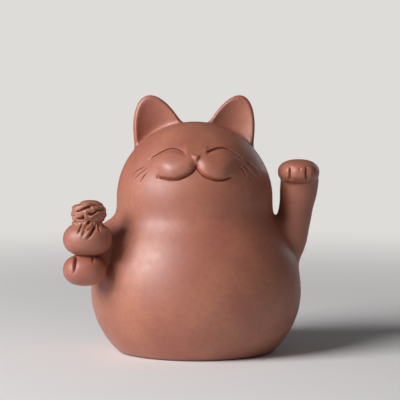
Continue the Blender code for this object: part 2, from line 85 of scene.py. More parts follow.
class Piece(Enum):
    """The luted lumps, each with the frame node that it stands for and its clay's slot."""

    FOOT = ("base_disc", "bare_foot_clay")
    BELLY = ("belly_shell", "burnished_clay")
    HEAD = ("head_shell", "burnished_clay")
    EAR_LEFT = ("ear_left", "burnished_clay")
    EAR_RIGHT = ("ear_right", "burnished_clay")
    PAD_LEFT = ("muzzle_pad_left", "burnished_clay")
    PAD_RIGHT = ("muzzle_pad_right", "burnished_clay")
    NOSE = ("nose_button", "burnished_clay")
    RAISED_ARM = ("raised_arm", "burnished_clay")
    RAISED_PAW = ("raised_paw", "burnished_clay")
    HOLDING_ARM = ("holding_arm", "burnished_clay")
    HOLDING_PAW = ("holding_paw", "burnished_clay")
    PURSE_BALL = ("pouch_ball", "purse_clay")
    PURSE_TIE = ("pouch_tie", "purse_clay")
    PURSE_RUFFLE = ("pouch_ruffle", "purse_clay")
    TAIL = ("tail", "burnished_clay")

    @property
    def node(self) -> str:
        """Name of the frame node."""
        return self.value[0]

    @property
    def slot(self) -> str:
        """Name of the record's material slot."""
        return self.value[1]


class Side(Enum):
    """The cat's own sides, as signs along X."""

    LEFT = 1.0
    RIGHT = -1.0


# Forms in clay, as distances in millimetres


def smooth_step(values: Values, low: float, high: float) -> Values:
    """Rises smoothly from 0 at the low value to 1 at the high one."""
    share = np.clip((values - low) / (high - low), 0.0, 1.0)
    return share * share * (3.0 - 2.0 * share)


def melt(first: Values, second: Values, reach: Values | float) -> Values:
    """Joins two forms and fills the groove between them, as slip does.

    Args:
        first: Distances to one form.
        second: Distances to the other.
        reach: How far the fill reaches, in millimetres.

    Returns:
        Distances to the joined form.
    """
    near = np.maximum(reach - np.abs(first - second), 0.0) / reach
    return np.minimum(first, second) - near**3 * reach / 6.0


def press(form: Values, tool: Values, reach: Values | float) -> Values:
    """Takes a tool's form out of another and rounds the rim that it leaves, over a reach."""
    return -melt(-form, tool, reach)


def curve_through(knots: Sequence[Sequence[float]], count: int) -> np.ndarray:
    """A smooth curve through knots, which may carry any number of values each.

    Args:
        knots: Rows of values to pass through.
        count: How many rows to return.

    Returns:
        Evenly stepped rows from the first knot to the last.
    """
    rows = np.asarray(knots, float)
    padded = np.vstack([2 * rows[0] - rows[1], rows, 2 * rows[-1] - rows[-2]])
    places = np.linspace(0, len(rows) - 1, count)
    index = np.minimum(places.astype(int), len(rows) - 2)
    t = (places - index)[:, None]
    a, b, c, d = (padded[index + i] for i in range(4))
    square = (2 * a - 5 * b + 4 * c - d) * t**2
    cube = (3 * b - a - 3 * c + d) * t**3
    return 0.5 * (2 * b + (c - a) * t + square + cube)


def egg(local: Points, half: Points) -> Values:
    """Distances to first order to an egg about the origin, whose half sizes may vary."""
    size = np.linalg.norm(local / half, axis=1) + TINY
    return size * (size - 1) / (np.linalg.norm(local / half**2, axis=1) + TINY)


def near_box(points: Points, low: Sequence[float], high: Sequence[float], margin: float,
             shape: Form) -> Values:
    """Works a form out in full only close to its box, and elsewhere gives the box's distance.

    Args:
        points: Where to ask.
        low: Lowest corner of the form's box.
        high: Highest corner of the form's box.
        margin: How close a place has to be.
        shape: Gives distances to the form.

    Returns:
        Distances.
    """
    past = np.maximum(np.asarray(low) - points, points - np.asarray(high))
    gap = np.linalg.norm(np.maximum(past, 0.0), axis=1)
    found = gap + margin / 2
    close = gap < margin
    if close.any():
        found[close] = shape(points[close])
    return found


@dataclass(frozen=True)
class Lump:
    """A lump pressed to an egg, squarer as its fullness passes 2."""

    middle: Vec3
    half: Vec3
    fullness: float = 2.0
    margin: float = 7.0

    def distance(self, points: Points) -> Values:
        """Distances to the lump, which are rough far from it."""
        middle, half = np.asarray(self.middle), np.asarray(self.half)
        return near_box(points, middle - half, middle + half, self.margin, self.exact)

    def exact(self, points: Points) -> Values:
        """Distances to first order, from the form's value over its slope.

        Args:
            points: Where to ask.

        Returns:
            Distances.
        """
        local = points - np.asarray(self.middle)
        share = np.abs(local) / np.asarray(self.half) + TINY
        size = (share**self.fullness).sum(1) ** (1 / self.fullness)
        slope = share ** (self.fullness - 1) / np.asarray(self.half)
        return (size - 1) * size ** (self.fullness - 1) / np.linalg.norm(slope, axis=1)


@dataclass(frozen=True)
class Coil:
    """A coil rolled through stations of (x, y, z, radius)."""

    stations: tuple[Vec4, ...]
    steps: int = 20
    margin: float = 7.0

    def rows(self) -> np.ndarray:
        """The stations, finely stepped."""
        return curve_through(self.stations, self.steps)

    def distance(self, points: Points) -> Values:
        """Distances to the coil, which are rough far from it.

        Args:
            points: Where to ask.

        Returns:
            Distances.
        """
        rows = self.rows()
        thick = rows[:, 3:]
        low, high = (rows[:, :3] - thick).min(0), (rows[:, :3] + thick).max(0)
        return near_box(points, low, high, self.margin, self.exact)

    def exact(self, points: Points) -> Values:
        """Distances to the nearest of the short cones that the coil is made of.

        Args:
            points: Where to ask.

        Returns:
            Distances.
        """
        rows = self.rows()
        best = np.full(len(points), FAR)
        for start, end in zip(rows, rows[1:]):
            along = end[:3] - start[:3]
            share = np.clip((points - start[:3]) @ along / (along @ along), 0.0, 1.0)
            axis = start[:3] + share[:, None] * along
            radius = start[3] + share * (end[3] - start[3])
            best = np.minimum(best, np.linalg.norm(points - axis, axis=1) - radius)
        return best


@dataclass(frozen=True)
class Ring:
    """A wavy closed band round an upright axis, through knots of (turn, radius, height, thickness).

    The turn is in degrees from the front, positive towards +X.
    """

    middle: Vec3
    knots: tuple[Vec4, ...]
    steps: int = 160

    def distance(self, points: Points) -> Values:
        """Distances to the band.

        Args:
            points: Where to ask.

        Returns:
            Distances.
        """
        first = self.knots[0]
        rows = curve_through((*self.knots, (first[0] + 360, *first[1:])), self.steps)
        local = points - np.asarray(self.middle)
        turn = np.degrees(np.arctan2(local[:, 0], -local[:, 1]))
        radius, height, thick = (np.interp(turn, rows[:, 0], rows[:, i], period=360) for i in (1, 2, 3))
        out = np.hypot(local[:, 0], local[:, 1]) - radius
        return np.hypot(out, local[:, 2] - height) - thick


class Mark(Protocol):
    """Anything that takes clay away from a skin, or adds it."""

    def removed(self, points: Points) -> Values:
        """How much clay is missing at each place, less than none where it is added."""


@dataclass(frozen=True)
class ToolLine:
    """A line drawn in soft clay: its path on the surface, and the way that faces the maker there.

    The tapers are the shares of its length over which its two ends fade, and the burr is a
    share of its depth. Its width is measured along the surface, so nearly all of a place's
    lift off the surface is left out, and nothing beyond the lift limit is marked.
    """

    path: tuple[Vec3, ...]
    outward: tuple[Vec3, ...]
    depth: float
    half_width: float
    tapers: Vec2 = (0.3, 0.3)
    burr: float = 0.0
    burr_at: float = 2.2
    lift_left_out: float = 0.98
    lift_limit: float = 4.0
    steps: int = 18

    def rows(self) -> tuple[np.ndarray, np.ndarray]:
        """The path and the outward ways, finely stepped."""
        ways = curve_through(self.outward, self.steps)
        return curve_through(self.path, self.steps), ways / np.linalg.norm(ways, axis=1)[:, None]

    def across(self, points: Points) -> tuple[Values, Values]:
        """How far each place lies from the line, along the surface, and how far along it is.

        Args:
            points: Where to ask.

        Returns:
            Distances, and shares of the line's length.
        """
        line, ways = self.rows()
        best = np.full(len(points), FAR)
        place = np.zeros(len(points))
        for i in range(len(line) - 1):
            along = line[i + 1] - line[i]
            share = np.clip((points - line[i]) @ along / (along @ along), 0.0, 1.0)
            offset = points - line[i] - share[:, None] * along
            lift = offset @ ways[i]
            apart = np.sqrt(np.maximum((offset**2).sum(1) - self.lift_left_out * lift**2, 0.0))
            apart[np.abs(lift) > self.lift_limit] = FAR
            closer = apart < best
            best[closer] = apart[closer]
            place[closer] = ((i + share) / (len(line) - 1))[closer]
        return best, place

    def cut(self, points: Points) -> Values:
        """How much clay the tool takes out, less the burr that it raises beside the cut.

        Args:
            points: Places near the line.

        Returns:
            Depths.
        """
        apart, place = self.across(points)
        first, last = self.tapers
        ends = smooth_step(place, -1e-3, first) * smooth_step(1 - place, -1e-3, last)
        share = apart / self.half_width
        raised = self.burr * np.exp(-(share - self.burr_at) ** 2)
        return self.depth * ends * (np.exp(-share**2) - raised)

    def removed(self, points: Points) -> Values:
        """How much clay is missing at each place, worked out only where the line can reach.

        Args:
            points: Where to ask.

        Returns:
            Depths.
        """
        line, _ = self.rows()
        gap = np.maximum(np.maximum(line.min(0) - points, points - line.max(0)), 0.0).max(1)
        taken = np.zeros(len(points))
        close = gap < max(6 * self.half_width + 0.6, self.depth + 1.0)
        if close.any():
            taken[close] = self.cut(points[close])
        return taken


def laid(form: Form, line: Sequence[Vec2], front: float, count: int = 7, rounds: int = 40) -> Laid:
    """Lays a line, drawn as seen from the front, on a form.

    Args:
        form: Gives distances.
        line: Places as (across, up).
        front: A depth in front of the form.
        count: How many places to lay down.
        rounds: How many steps each place takes towards the form.

    Returns:
        The places on the form, and the outward way at each.
    """
    flat = curve_through(line, count)
    places = np.column_stack([flat[:, 0], np.full(count, front), flat[:, 1]])
    for _ in range(rounds):
        places[:, 1] += 0.8 * np.clip(form(places), -1.0, 3.0)
    _, ways = slopes(form, places, 0.3)
    return tuple(map(tuple, places)), tuple(map(tuple, ways))


@dataclass(frozen=True)
class Dent:
    """A small round dent or, with a negative depth, a crumb of clay."""

    place: Vec3
    depth: float
    radius: float

    def removed(self, points: Points) -> Values:
        """How much clay is missing at each place."""
        apart = np.linalg.norm(points - self.place, axis=1)
        return self.depth * np.exp(-((apart / self.radius) ** 2))


# The cat's lumps and marks, in millimetres


@dataclass
class Belly:
    """The round hollow belly, standing on a flat foot."""

    width: float = 65.8
    depth: float = 61.2
    middle_height: float = 19.0
    rise: float = 32.8
    foot_width: float = 48.6
    foot_thickness: float = 3.55
    foot_edge: float = 1.3
    wall: float = 4.0
    vent_diameter: float = 6.4
    vent_back: float = 9.0
    vent_height: float = 8.0
    vent_rim: float = 0.5

    @property
    def drop(self) -> float:
        """How far the lower round would reach below the middle without the flat foot."""
        return self.middle_height / math.sqrt(1 - (self.foot_width / self.width) ** 2)

    def radius_at(self, height: float) -> float:
        """Half width at a height."""
        span = self.rise if height > self.middle_height else self.drop
        return self.width / 2 * math.sqrt(max(0.0, 1 - ((height - self.middle_height) / span) ** 2))

    def on_skin(self, azimuth: float, height: float, out: float = 0.0) -> np.ndarray:
        """A place on the belly.

        Args:
            azimuth: Degrees from the front towards the cat's right.
            height: Height above the table.
            out: How far outside the skin.

        Returns:
            The place.
        """
        wide = self.radius_at(height)
        deep = wide * self.depth / self.width
        turn = math.radians(azimuth)
        place = np.array([-wide * math.sin(turn), -deep * math.cos(turn), height])
        way = np.array([-math.sin(turn) / wide, -math.cos(turn) / deep, 0.0])
        return place + way / np.linalg.norm(way) * out

    def distance(self, points: Points) -> Values:
        """Distances to the belly's round.

        Args:
            points: Where to ask.

        Returns:
            Distances.
        """
        local = points - np.array([0.0, 0.0, self.middle_height])
        span = np.where(local[:, 2] > 0, self.rise, self.drop)
        wide, deep = np.full_like(span, self.width / 2), np.full_like(span, self.depth / 2)
        return egg(local, np.stack([wide, deep, span], axis=1))

    def flattened(self, points: Points, skin: Values) -> Values:
        """Presses the foot flat on the table and drills the vent.

        Args:
            points: Where to ask.
            skin: Distances to the rounded skin there.

        Returns:
            Distances to the skin with its foot.
        """
        flat = press(skin, points[:, 2], self.foot_edge)
        hole = np.hypot(points[:, 0], points[:, 1] - self.vent_back) - self.vent_diameter / 2
        return press(flat, np.maximum(hole, points[:, 2] - self.vent_height), self.vent_rim)


@dataclass(frozen=True)
class Nose:
    """A small pinched wedge, pointing down, whose two slanting sides fade into the bridge."""

    tip: Vec2 = (0.1, 59.0)
    height: float = 1.8
    half_width: float = 1.3
    rise: float = 0.95
    facet: float = 0.7
    ridge_round: float = 0.7
    side_soft: float = 0.1
    fades_above: Vec2 = (1.0, 2.6)
    ahead: float = 12.0

    def inset(self, points: Points) -> Values:
        """How far inside the slanting sides each place lies.

        Args:
            points: Where to ask.

        Returns:
            Distances: 0 on a side, more inside.
        """
        across, up = points[:, 0] - self.tip[0], points[:, 2] - self.tip[1]
        long = math.hypot(self.half_width, self.height)
        right = (up * self.half_width + across * self.height) / long
        left = (up * self.half_width - across * self.height) / long
        return melt(right, left, self.ridge_round)

    def gauge(self, points: Points) -> Values:
        """Size of the nose's outline at each place: 1 on the outline itself."""
        up = (points[:, 2] - self.tip[1]) / self.height
        return np.maximum(1 - self.inset(points) / self.facet, up)

    def removed(self, points: Points) -> Values:
        """How much clay is missing: less than none where the nose stands out.

        Args:
            points: Where to ask.

        Returns:
            Depths.
        """
        inside = smooth_step(self.inset(points), -self.side_soft, self.facet)
        fade = 1 - smooth_step(points[:, 2] - self.tip[1], *self.fades_above)
        return np.where(points[:, 1] < -self.ahead, -self.rise * inside * fade, 0.0)


@dataclass(frozen=True)
class Stroke:
    """How a tool is drawn through the clay: how deep and wide, how it fades, and its burr."""

    depth: float
    half_width: float
    tapers: Vec2
    burr: float = 0.0

    def along(self, path: tuple[Vec3, ...], outward: tuple[Vec3, ...]) -> ToolLine:
        """The line that the stroke leaves along a path."""
        return ToolLine(path, outward, self.depth, self.half_width, self.tapers, self.burr)


@dataclass
class Face:
    """The laughing face: puffed pads over the mouth line, closed eyes, whiskers and the nose.

    Lines are drawn as seen from the front, as (across, up). Two heights, widths or depths
    together say where something starts to rise or fade, and where it ends. The lid's heights
    are measured from the eye's line.
    """

    nose: Nose = Nose()
    middle: float = 0.1
    pad_rise: float = 2.05
    pad_round: float = 3.7
    pad_heights: Vec2 = (57.5, 67.0)
    pad_widths: Vec2 = (7.0, 16.5)
    lip_edge: float = 0.55
    cheek_slope: Vec2 = (-2.0, 4.0)
    past_mouth: Vec2 = (6.5, 13.0)
    valley_width: float = 1.2
    valley_depth: float = 0.4
    valley_heights: Vec2 = (57.8, 60.6)
    lid_drop: float = 0.5
    lid_heights: Vec2 = (-1.9, -0.1)
    lid_inner: Vec2 = (2.4, 4.4)
    lid_outer: Vec2 = (12.5, 15.0)
    turns_back: Vec2 = (6.0, 10.0)
    chin: float = 46.0
    forehead: float = 70.0
    mouth_right: Line = (
        (0.1, 58.2), (-1.5, 56.5), (-4.1, 55.1), (-6.7, 54.5), (-9.6, 54.9), (-11.4, 55.3),
    )
    mouth_left: Line = (
        (0.1, 58.2), (1.6, 56.4), (3.3, 55.25), (6.0, 54.4), (8.6, 54.5), (11.3, 55.55),
    )
    cheek_right: Line = ((-19.0, 51.0), (-14.5, 54.6))
    cheek_left: Line = ((14.5, 55.4), (19.0, 52.0))
    eye_right: Line = ((-14.8, 60.0), (-10.5, 62.5), (-7.0, 63.75), (-4.6, 63.15), (-3.0, 61.95))
    eye_left: Line = (
        (3.1, 62.2), (5.2, 63.3), (7.9, 63.9), (10.8, 62.9), (13.0, 61.3), (14.3, 60.75),
    )
    whiskers_right: tuple[Line, ...] = (
        ((-13.9, 58.9), (-16.9, 57.65), (-19.2, 55.9), (-21.1, 52.7)),
        ((-13.6, 58.3), (-15.7, 57.2), (-18.2, 55.05), (-19.5, 52.4)),
        ((-14.5, 56.7), (-16.0, 55.1), (-17.3, 52.6)),
    )
    whiskers_left: tuple[Line, ...] = (
        ((14.9, 59.9), (16.8, 58.8), (18.7, 56.9), (20.3, 54.8)),
        ((13.7, 58.8), (15.5, 57.6), (17.4, 55.55), (18.4, 53.9)),
        ((13.1, 58.05), (14.0, 57.3), (14.9, 56.2), (15.5, 54.6)),
    )
    mouth_right_stroke: Stroke = Stroke(1.0, 0.27, (0.03, 0.12))
    mouth_left_strokes: tuple[Stroke, ...] = (
        Stroke(0.5, 0.2, (0.03, 0.12)),
        Stroke(0.6, 0.28, (0.6, 0.16)),
    )
    eye_right_stroke: Stroke = Stroke(1.2, 0.22, (0.2, 0.3), 0.05)
    eye_left_stroke: Stroke = Stroke(1.4, 0.25, (0.1, 0.25), 0.05)
    whisker_right_stroke: Stroke = Stroke(0.42, 0.15, (0.4, 0.5), 0.06)
    whisker_left_stroke: Stroke = Stroke(1.1, 0.24, (0.25, 0.4), 0.07)

    def strokes(self) -> list[tuple[Line, Stroke]]:
        """Every line of the face with the stroke that draws it: mouth, eyes and whiskers.

        Returns:
            The lines and strokes.
        """
        return [
            (self.mouth_right, self.mouth_right_stroke),
            *((self.mouth_left, stroke) for stroke in self.mouth_left_strokes),
            (self.eye_right, self.eye_right_stroke),
            (self.eye_left, self.eye_left_stroke),
            *((whisker, self.whisker_right_stroke) for whisker in self.whiskers_right),
            *((whisker, self.whisker_left_stroke) for whisker in self.whiskers_left),
        ]

    def height_of(self, line: Line, across: Values) -> Values:
        """Height of a drawn line at places across the face."""
        rows = curve_through(line, 60)
        return np.interp(across, *rows[np.argsort(rows[:, 0])].T)

    def above_mouth(self, points: Points) -> Values:
        """How far each place lies above the line that the mouth and the cheeks' folds make.

        Args:
            points: Where to ask.

        Returns:
            Distances, with a minus below the line.
        """
        flat = points[:, (0, 2)]
        rows = np.vstack([
            curve_through([*self.cheek_right, *self.mouth_right[::-1]], 40),
            curve_through([*self.mouth_left, *self.cheek_left], 40)[1:],
        ])
        apart = np.full(len(points), FAR)
        for start, end in zip(rows[:-1], rows[1:]):
            along = end - start
            share = np.clip((flat - start) @ along / (along @ along), 0.0, 1.0)
            apart = np.minimum(apart, np.linalg.norm(flat - start - share[:, None] * along, axis=1))
        return np.where(flat[:, 1] > np.interp(flat[:, 0], *rows.T), apart, -apart)

    def lip(self, points: Points) -> Values:
        """The pads' lower edge: round and crisp over the mouth, a soft fold on the cheeks.

        Args:
            points: Where to ask.

        Returns:
            Shares of the pads' rise.
        """
        above = self.above_mouth(points)
        inward = 1 - np.clip(above / self.pad_round, 0, 1)
        crisp = np.sqrt(np.clip(1 - inward**2, 0, 1)) * smooth_step(above, 0.0, self.lip_edge)
        soft = smooth_step(above, *self.cheek_slope)
        past_corner = smooth_step(np.abs(points[:, 0] - self.middle), *self.past_mouth)
        return crisp * (1 - past_corner) + soft * past_corner

    def lid(self, points: Points) -> Values:
        """What the closed eyes leave of the pads, which drop away under each lid.

        Args:
            points: Where to ask.

        Returns:
            Shares of the pads' rise.
        """
        across = points[:, 0] - self.middle
        out = np.abs(across)
        right = self.height_of(self.eye_right, points[:, 0])
        left = self.height_of(self.eye_left, points[:, 0])
        over_eye = points[:, 2] - np.where(across < 0, right, left)
        in_eye = smooth_step(out, *self.lid_inner) * (1 - smooth_step(out, *self.lid_outer))
        return 1 - self.lid_drop * smooth_step(over_eye, *self.lid_heights) * in_eye

    def pad(self, points: Points) -> Values:
        """How far the puffed pads stand out of the head, with the valley between them.

        Args:
            points: Where to ask.

        Returns:
            Heights over the head's round.
        """
        across = points[:, 0] - self.middle
        up = 1 - smooth_step(points[:, 2], *self.pad_heights)
        outward = 1 - smooth_step(np.abs(across), *self.pad_widths)
        groove = self.valley_depth * np.exp(-((across / self.valley_width) ** 2))
        valley = 1 - groove * (1 - smooth_step(points[:, 2], *self.valley_heights))
        return self.pad_rise * self.lip(points) * up * outward * valley * self.lid(points)

    def removed(self, points: Points) -> Values:
        """How much clay is missing from the head's round: less than none where the pads stand out.

        Args:
            points: Where to ask.

        Returns:
            Depths.
        """
        missing = np.zeros(len(points))
        in_height = (points[:, 2] > self.chin) & (points[:, 2] < self.forehead)
        front = (points[:, 1] < -self.turns_back[0]) & in_height
        near = points[front]
        missing[front] = -smooth_step(-near[:, 1], *self.turns_back) * self.pad(near)
        return missing


@dataclass
class Head:
    """The round hollow head that sits in the belly's shoulder."""

    face: Face
    width: float = 48.8
    depth: float = 45.6
    crown_rise: float = 24.0
    middle_height: float = 47.8
    side_shift: float = -0.45
    neck_height: float = 41.4
    mouth_middle: Vec2 = (0.1, 58.5)
    mouth_middle_dent: Vec2 = (1.1, 0.45)
    mouth_end_dent: Vec2 = (0.45, 0.45)

    @property
    def middle(self) -> np.ndarray:
        """Middle of the head's round."""
        return np.array([self.side_shift, 0.0, self.middle_height])

    @property
    def half(self) -> np.ndarray:
        """Half sizes of the head's round."""
        return np.array([self.width / 2, self.depth / 2, self.crown_rise])

    def radius_at(self, height: float) -> float:
        """Half width at a height."""
        share = (height - self.middle_height) / self.crown_rise
        return self.width / 2 * math.sqrt(max(0.0, 1 - share**2))

    def distance(self, points: Points) -> Values:
        """Distances to the head's round, before the face is raised on it."""
        return egg(points - self.middle, self.half)

    def on_front(self, line: Line, count: int = 7) -> Laid:
        """Lays a line drawn across the face on the front of the head.

        Args:
            line: Places as (across, up).
            count: How many places to lay down.

        Returns:
            The places on the head, and the outward way at each.
        """
        flat = curve_through(line, count)
        places, ways = [], []
        for across, up in flat:
            wide = (across - self.side_shift) / self.half[0]
            high = (up - self.middle_height) / self.half[2]
            share = 1 - wide**2 - high**2
            place = np.array([across, -self.half[1] * math.sqrt(max(share, 0.02)), up])
            way = (place - self.middle) / self.half**2
            way /= np.linalg.norm(way)
            places.append(tuple(place))
            ways.append(tuple(way))
        return tuple(places), tuple(ways)

    def tool_lines(self) -> list[ToolLine]:
        """The mouth, the eyes and the whiskers."""
        return [stroke.along(*self.on_front(line)) for line, stroke in self.face.strokes()]

    def dents(self) -> list[Dent]:
        """The dents that the tool's point leaves at the middle and at one end of the mouth.

        Returns:
            The dents.
        """
        found = []
        mouth_end = self.face.mouth_right[-1]
        spots = ((self.mouth_middle, self.mouth_middle_dent), (mouth_end, self.mouth_end_dent))
        for (across, up), (depth, radius) in spots:
            places, _ = self.on_front(((across, up), (across + 0.01, up)), 2)
            found.append(Dent(places[0], depth, radius))
        return found


@dataclass
class Ear:
    """One ear: a leaf of clay, thumbed hollow at the front and rolled at its outer rim.

    The thumb starts a little off the leaf's front. Under the forehead the ear's joint is
    crisp, and it gets its thumbed melt between two depths behind the face.
    """

    side: Side
    spread: float
    half_width: float
    lean: float
    head_shift: float = -0.45
    back: float = 4.6
    root_height: float = 61.7
    length: float = 18.3
    half_thickness: float = 3.9
    point: float = 1.8
    scoop_shift: float = -0.1
    scoop_depth: float = 4.9
    scoop_half_width: float = 9.5
    scoop_length: float = 21.5
    scoop_off: float = 0.7
    scoop_drop: float = 0.3
    rim_round: float = 1.0
    crisp_melt: float = 0.35
    thumbed_melt: float = 3.3
    thumbed_behind: Vec2 = (0.5, 5.5)
    room: float = 4.0

    def local(self, points: Points) -> Points:
        """Places from the ear's root, with the lean taken out and outwards positive.

        Args:
            points: Places on the cat.

        Returns:
            The same places as the ear has them.
        """
        local = points - np.array([self.head_shift, self.back, self.root_height])
        outward = local[:, 0] * self.side.value - self.spread - self.lean * local[:, 2]
        return np.column_stack([outward, local[:, 1], local[:, 2]])

    def form(self, local: Points) -> Values:
        """The leaf's form: 0 on its surface."""
        flat = np.hypot(local[:, 0] / self.half_width, local[:, 1] / self.half_thickness)
        return flat**2 + np.abs(local[:, 2] / self.length) ** self.point - 1

    def exact(self, points: Points) -> Values:
        """Distances to the thumbed leaf.

        Args:
            points: Where to ask.

        Returns:
            Distances.
        """
        local = self.local(points)
        step = 0.05
        value = self.form(local)
        slope = np.column_stack([self.form(local + step * axis) - value for axis in np.eye(3)]) / step
        leaf = value / np.maximum(np.linalg.norm(slope, axis=1), 0.06)
        thumb_at = (self.scoop_shift, -self.half_thickness - self.scoop_off, -self.scoop_drop)
        thumb_half = (self.scoop_half_width, self.scoop_depth + self.scoop_off, self.scoop_length)
        return press(leaf, Lump(thumb_at, thumb_half).exact(local), self.rim_round)

    def distance(self, points: Points) -> Values:
        """Distances to the ear, which are rough far from it.

        Args:
            points: Where to ask.

        Returns:
            Distances.
        """
        inner = self.head_shift + self.side.value * (self.spread - self.half_width - self.room)
        outer = self.head_shift + self.side.value * (self.spread + self.half_width + self.room)
        low = (min(inner, outer), self.back - self.half_thickness, self.root_height - self.room)
        high = (max(inner, outer), self.back + self.half_thickness, self.root_height + self.length)
        return near_box(points, low, high, 6.0, self.exact)

    def joined(self, points: Points, body: Values) -> Values:
        """Lutes the ear on: crisp under the forehead, thumbed smooth at the back and sides."""
        reach = self.crisp_melt + self.thumbed_melt * smooth_step(points[:, 1], *self.thumbed_behind)
        return melt(body, self.distance(points), reach)


@dataclass
class RaisedArm:
    """The arm that rises beside the head, with its paw bent towards the viewer.

    The wrist is measured from the middle of the paw. The bends are stations between the
    shoulder and the wrist: a share of the way, how far out it is pushed, and a radius.
    """

    belly: Belly
    head: Head
    shoulder_height: float = 33.0
    shoulder_back: float = 2.8
    shoulder_sunk: float = 1.75
    paw_half: Vec3 = (6.5, 8.3, 3.95)
    paw_top: float = 60.0
    paw_fullness: float = 2.3
    paw_ahead: float = 0.87
    paw_to_head: float = 3.0
    root: Vec3 = (0.82, 1.0, 0.78)
    root_radius: float = 6.0
    bends: tuple[Vec3, ...] = ((0.0, 0.3, 5.95), (0.36, 1.0, 5.35), (0.62, 0.75, 5.4), (0.84, 0.4, 5.9))
    wrist: Vec3 = (0.45, 1.8, -2.8)
    wrist_radius: float = 6.0
    slit_spread: float = 2.62
    slit_shift: float = -0.65
    slit: Line = ((0.15, 2.2), (-0.1, 0.0), (-0.1, -2.6))
    slit_cut: Stroke = Stroke(1.15, 0.22, (0.2, 0.15))
    slit_valley: Stroke = Stroke(0.35, 0.75, (0.2, 0.15))
    valley_shift: float = 0.5
    nick_at: Vec2 = (31.95, 57.3)
    crumb_from_nick: Vec2 = (0.5, -0.45)
    nick: Vec2 = (0.35, 0.36)
    crumb: Vec2 = (-0.14, 0.3)

    def paw(self) -> Lump:
        """The bent paw.

        Returns:
            The paw's form.
        """
        height = self.paw_top - self.paw_half[2]
        beside = self.head.side_shift + self.head.radius_at(height) + self.paw_to_head
        across = beside + self.paw_half[0]
        return Lump((across, -self.paw_ahead, height), self.paw_half, self.paw_fullness)

    def arm(self) -> Coil:
        """The arm, from inside the belly up into the paw.

        Returns:
            The arm's form.
        """
        out = self.belly.radius_at(self.shoulder_height) - self.shoulder_sunk
        shoulder = np.array([out, self.shoulder_back, self.shoulder_height])
        wrist = np.array(self.paw().middle) + self.wrist
        rise = wrist - shoulder
        stations = [(*(shoulder * self.root), self.root_radius)]
        for share, push, radius in self.bends:
            stations.append((*(shoulder + share * rise + (push, 0, 0)), radius))
        stations.append((*wrist, self.wrist_radius))
        return Coil(tuple(stations))

    def in_front(self) -> float:
        """A depth in front of the paw."""
        return -self.paw_ahead - self.paw_half[1] - IN_FRONT

    def slits(self) -> list[ToolLine]:
        """Two knife cuts that part the toes, each in the soft valley that the thumb left.

        Returns:
            The cuts and their valleys.
        """
        paw = self.paw()
        x, _, z = paw.middle
        found = []
        for side in (-1, 1):
            across = x + self.slit_shift + side * self.slit_spread
            for shift, stroke in ((0.0, self.slit_cut), (self.valley_shift, self.slit_valley)):
                line = [(across + shift + a, z + b) for a, b in self.slit]
                found.append(stroke.along(*laid(paw.distance, line, self.in_front())))
        return found

    def nicks(self) -> list[Dent]:
        """The small nick on the middle toe, and the crumb of clay pushed up beside it.

        Returns:
            The nick and the crumb.
        """
        across, up = self.nick_at
        beside = (across + self.crumb_from_nick[0], up + self.crumb_from_nick[1])
        places, _ = laid(self.paw().distance, [self.nick_at, beside], self.in_front(), 2)
        return [Dent(places[0], *self.nick), Dent(places[1], *self.crumb)]


@dataclass
class HoldingArm:
    """The short arm that reaches forward beside the belly, and the paw that the purse stands on."""

    belly: Belly
    azimuth: float = 58.0
    reach: float = 7.8
    paw_height: float = 27.4
    paw_half: Vec3 = (6.6, 6.4, 4.9)
    paw_fullness: float = 2.2
    shoulder_turn: float = 22.0
    shoulder_height: float = 35.0
    shoulder_sunk: float = 2.6
    root_sunk: float = 11.0
    elbow_out: float = 1.4
    radii: Vec4 = (5.8, 5.8, 5.5, 4.2)
    long_cut: Vec3 = (-2.75, 4.5, -1.3)
    short_cut: Vec3 = (2.9, 4.3, 2.2)
    cut_depths: Vec2 = (1.8, 0.45)
    cut: Stroke = Stroke(1.0, 0.3, (0.02, 0.6))
    valley: Stroke = Stroke(0.2, 0.8, (0.1, 0.5))
    cut_bend: float = 0.6
    cut_top_in: float = 0.9
    cut_foot_shift: float = -0.1

    def paw(self) -> Lump:
        """The paw."""
        middle = self.belly.on_skin(self.azimuth, self.paw_height, self.reach)
        return Lump(tuple(middle), self.paw_half, self.paw_fullness)

    def arm(self) -> Coil:
        """The arm, from inside the shoulder to the paw.

        Returns:
            The arm's form.
        """
        azimuth = self.azimuth + self.shoulder_turn
        shoulder = self.belly.on_skin(azimuth, self.shoulder_height, -self.shoulder_sunk)
        root = self.belly.on_skin(azimuth, self.shoulder_height, -self.root_sunk)
        way = (shoulder - root) / np.linalg.norm(shoulder - root)
        wrist = np.array(self.paw().middle)
        elbow = (shoulder + wrist) / 2 + way * self.elbow_out
        places = (root, shoulder, elbow, wrist)
        return Coil(tuple((*place, radius) for place, radius in zip(places, self.radii)))

    def slits(self) -> list[ToolLine]:
        """A long deep cut and a short shallow one at the paw's front, each in a soft valley.

        A cut is given by how far across it stands and by its upper and lower ends. The cut's
        and the valley's strokes have shares of its depth.

        Returns:
            The cuts and their valleys.
        """
        paw = self.paw()
        x, y, z = paw.middle
        found = []
        for (across, high, low), depth in zip((self.long_cut, self.short_cut), self.cut_depths):
            top = (x + self.cut_top_in * across, z + high)
            bend = (x + across, z + self.cut_bend * high + (1 - self.cut_bend) * low)
            foot = (x + across + self.cut_foot_shift, z + low)
            path = laid(paw.distance, (top, bend, foot), y - self.paw_half[1] - IN_FRONT)
            for stroke in (self.cut, self.valley):
                found.append(replace(stroke, depth=stroke.depth * depth).along(*path))
        return found


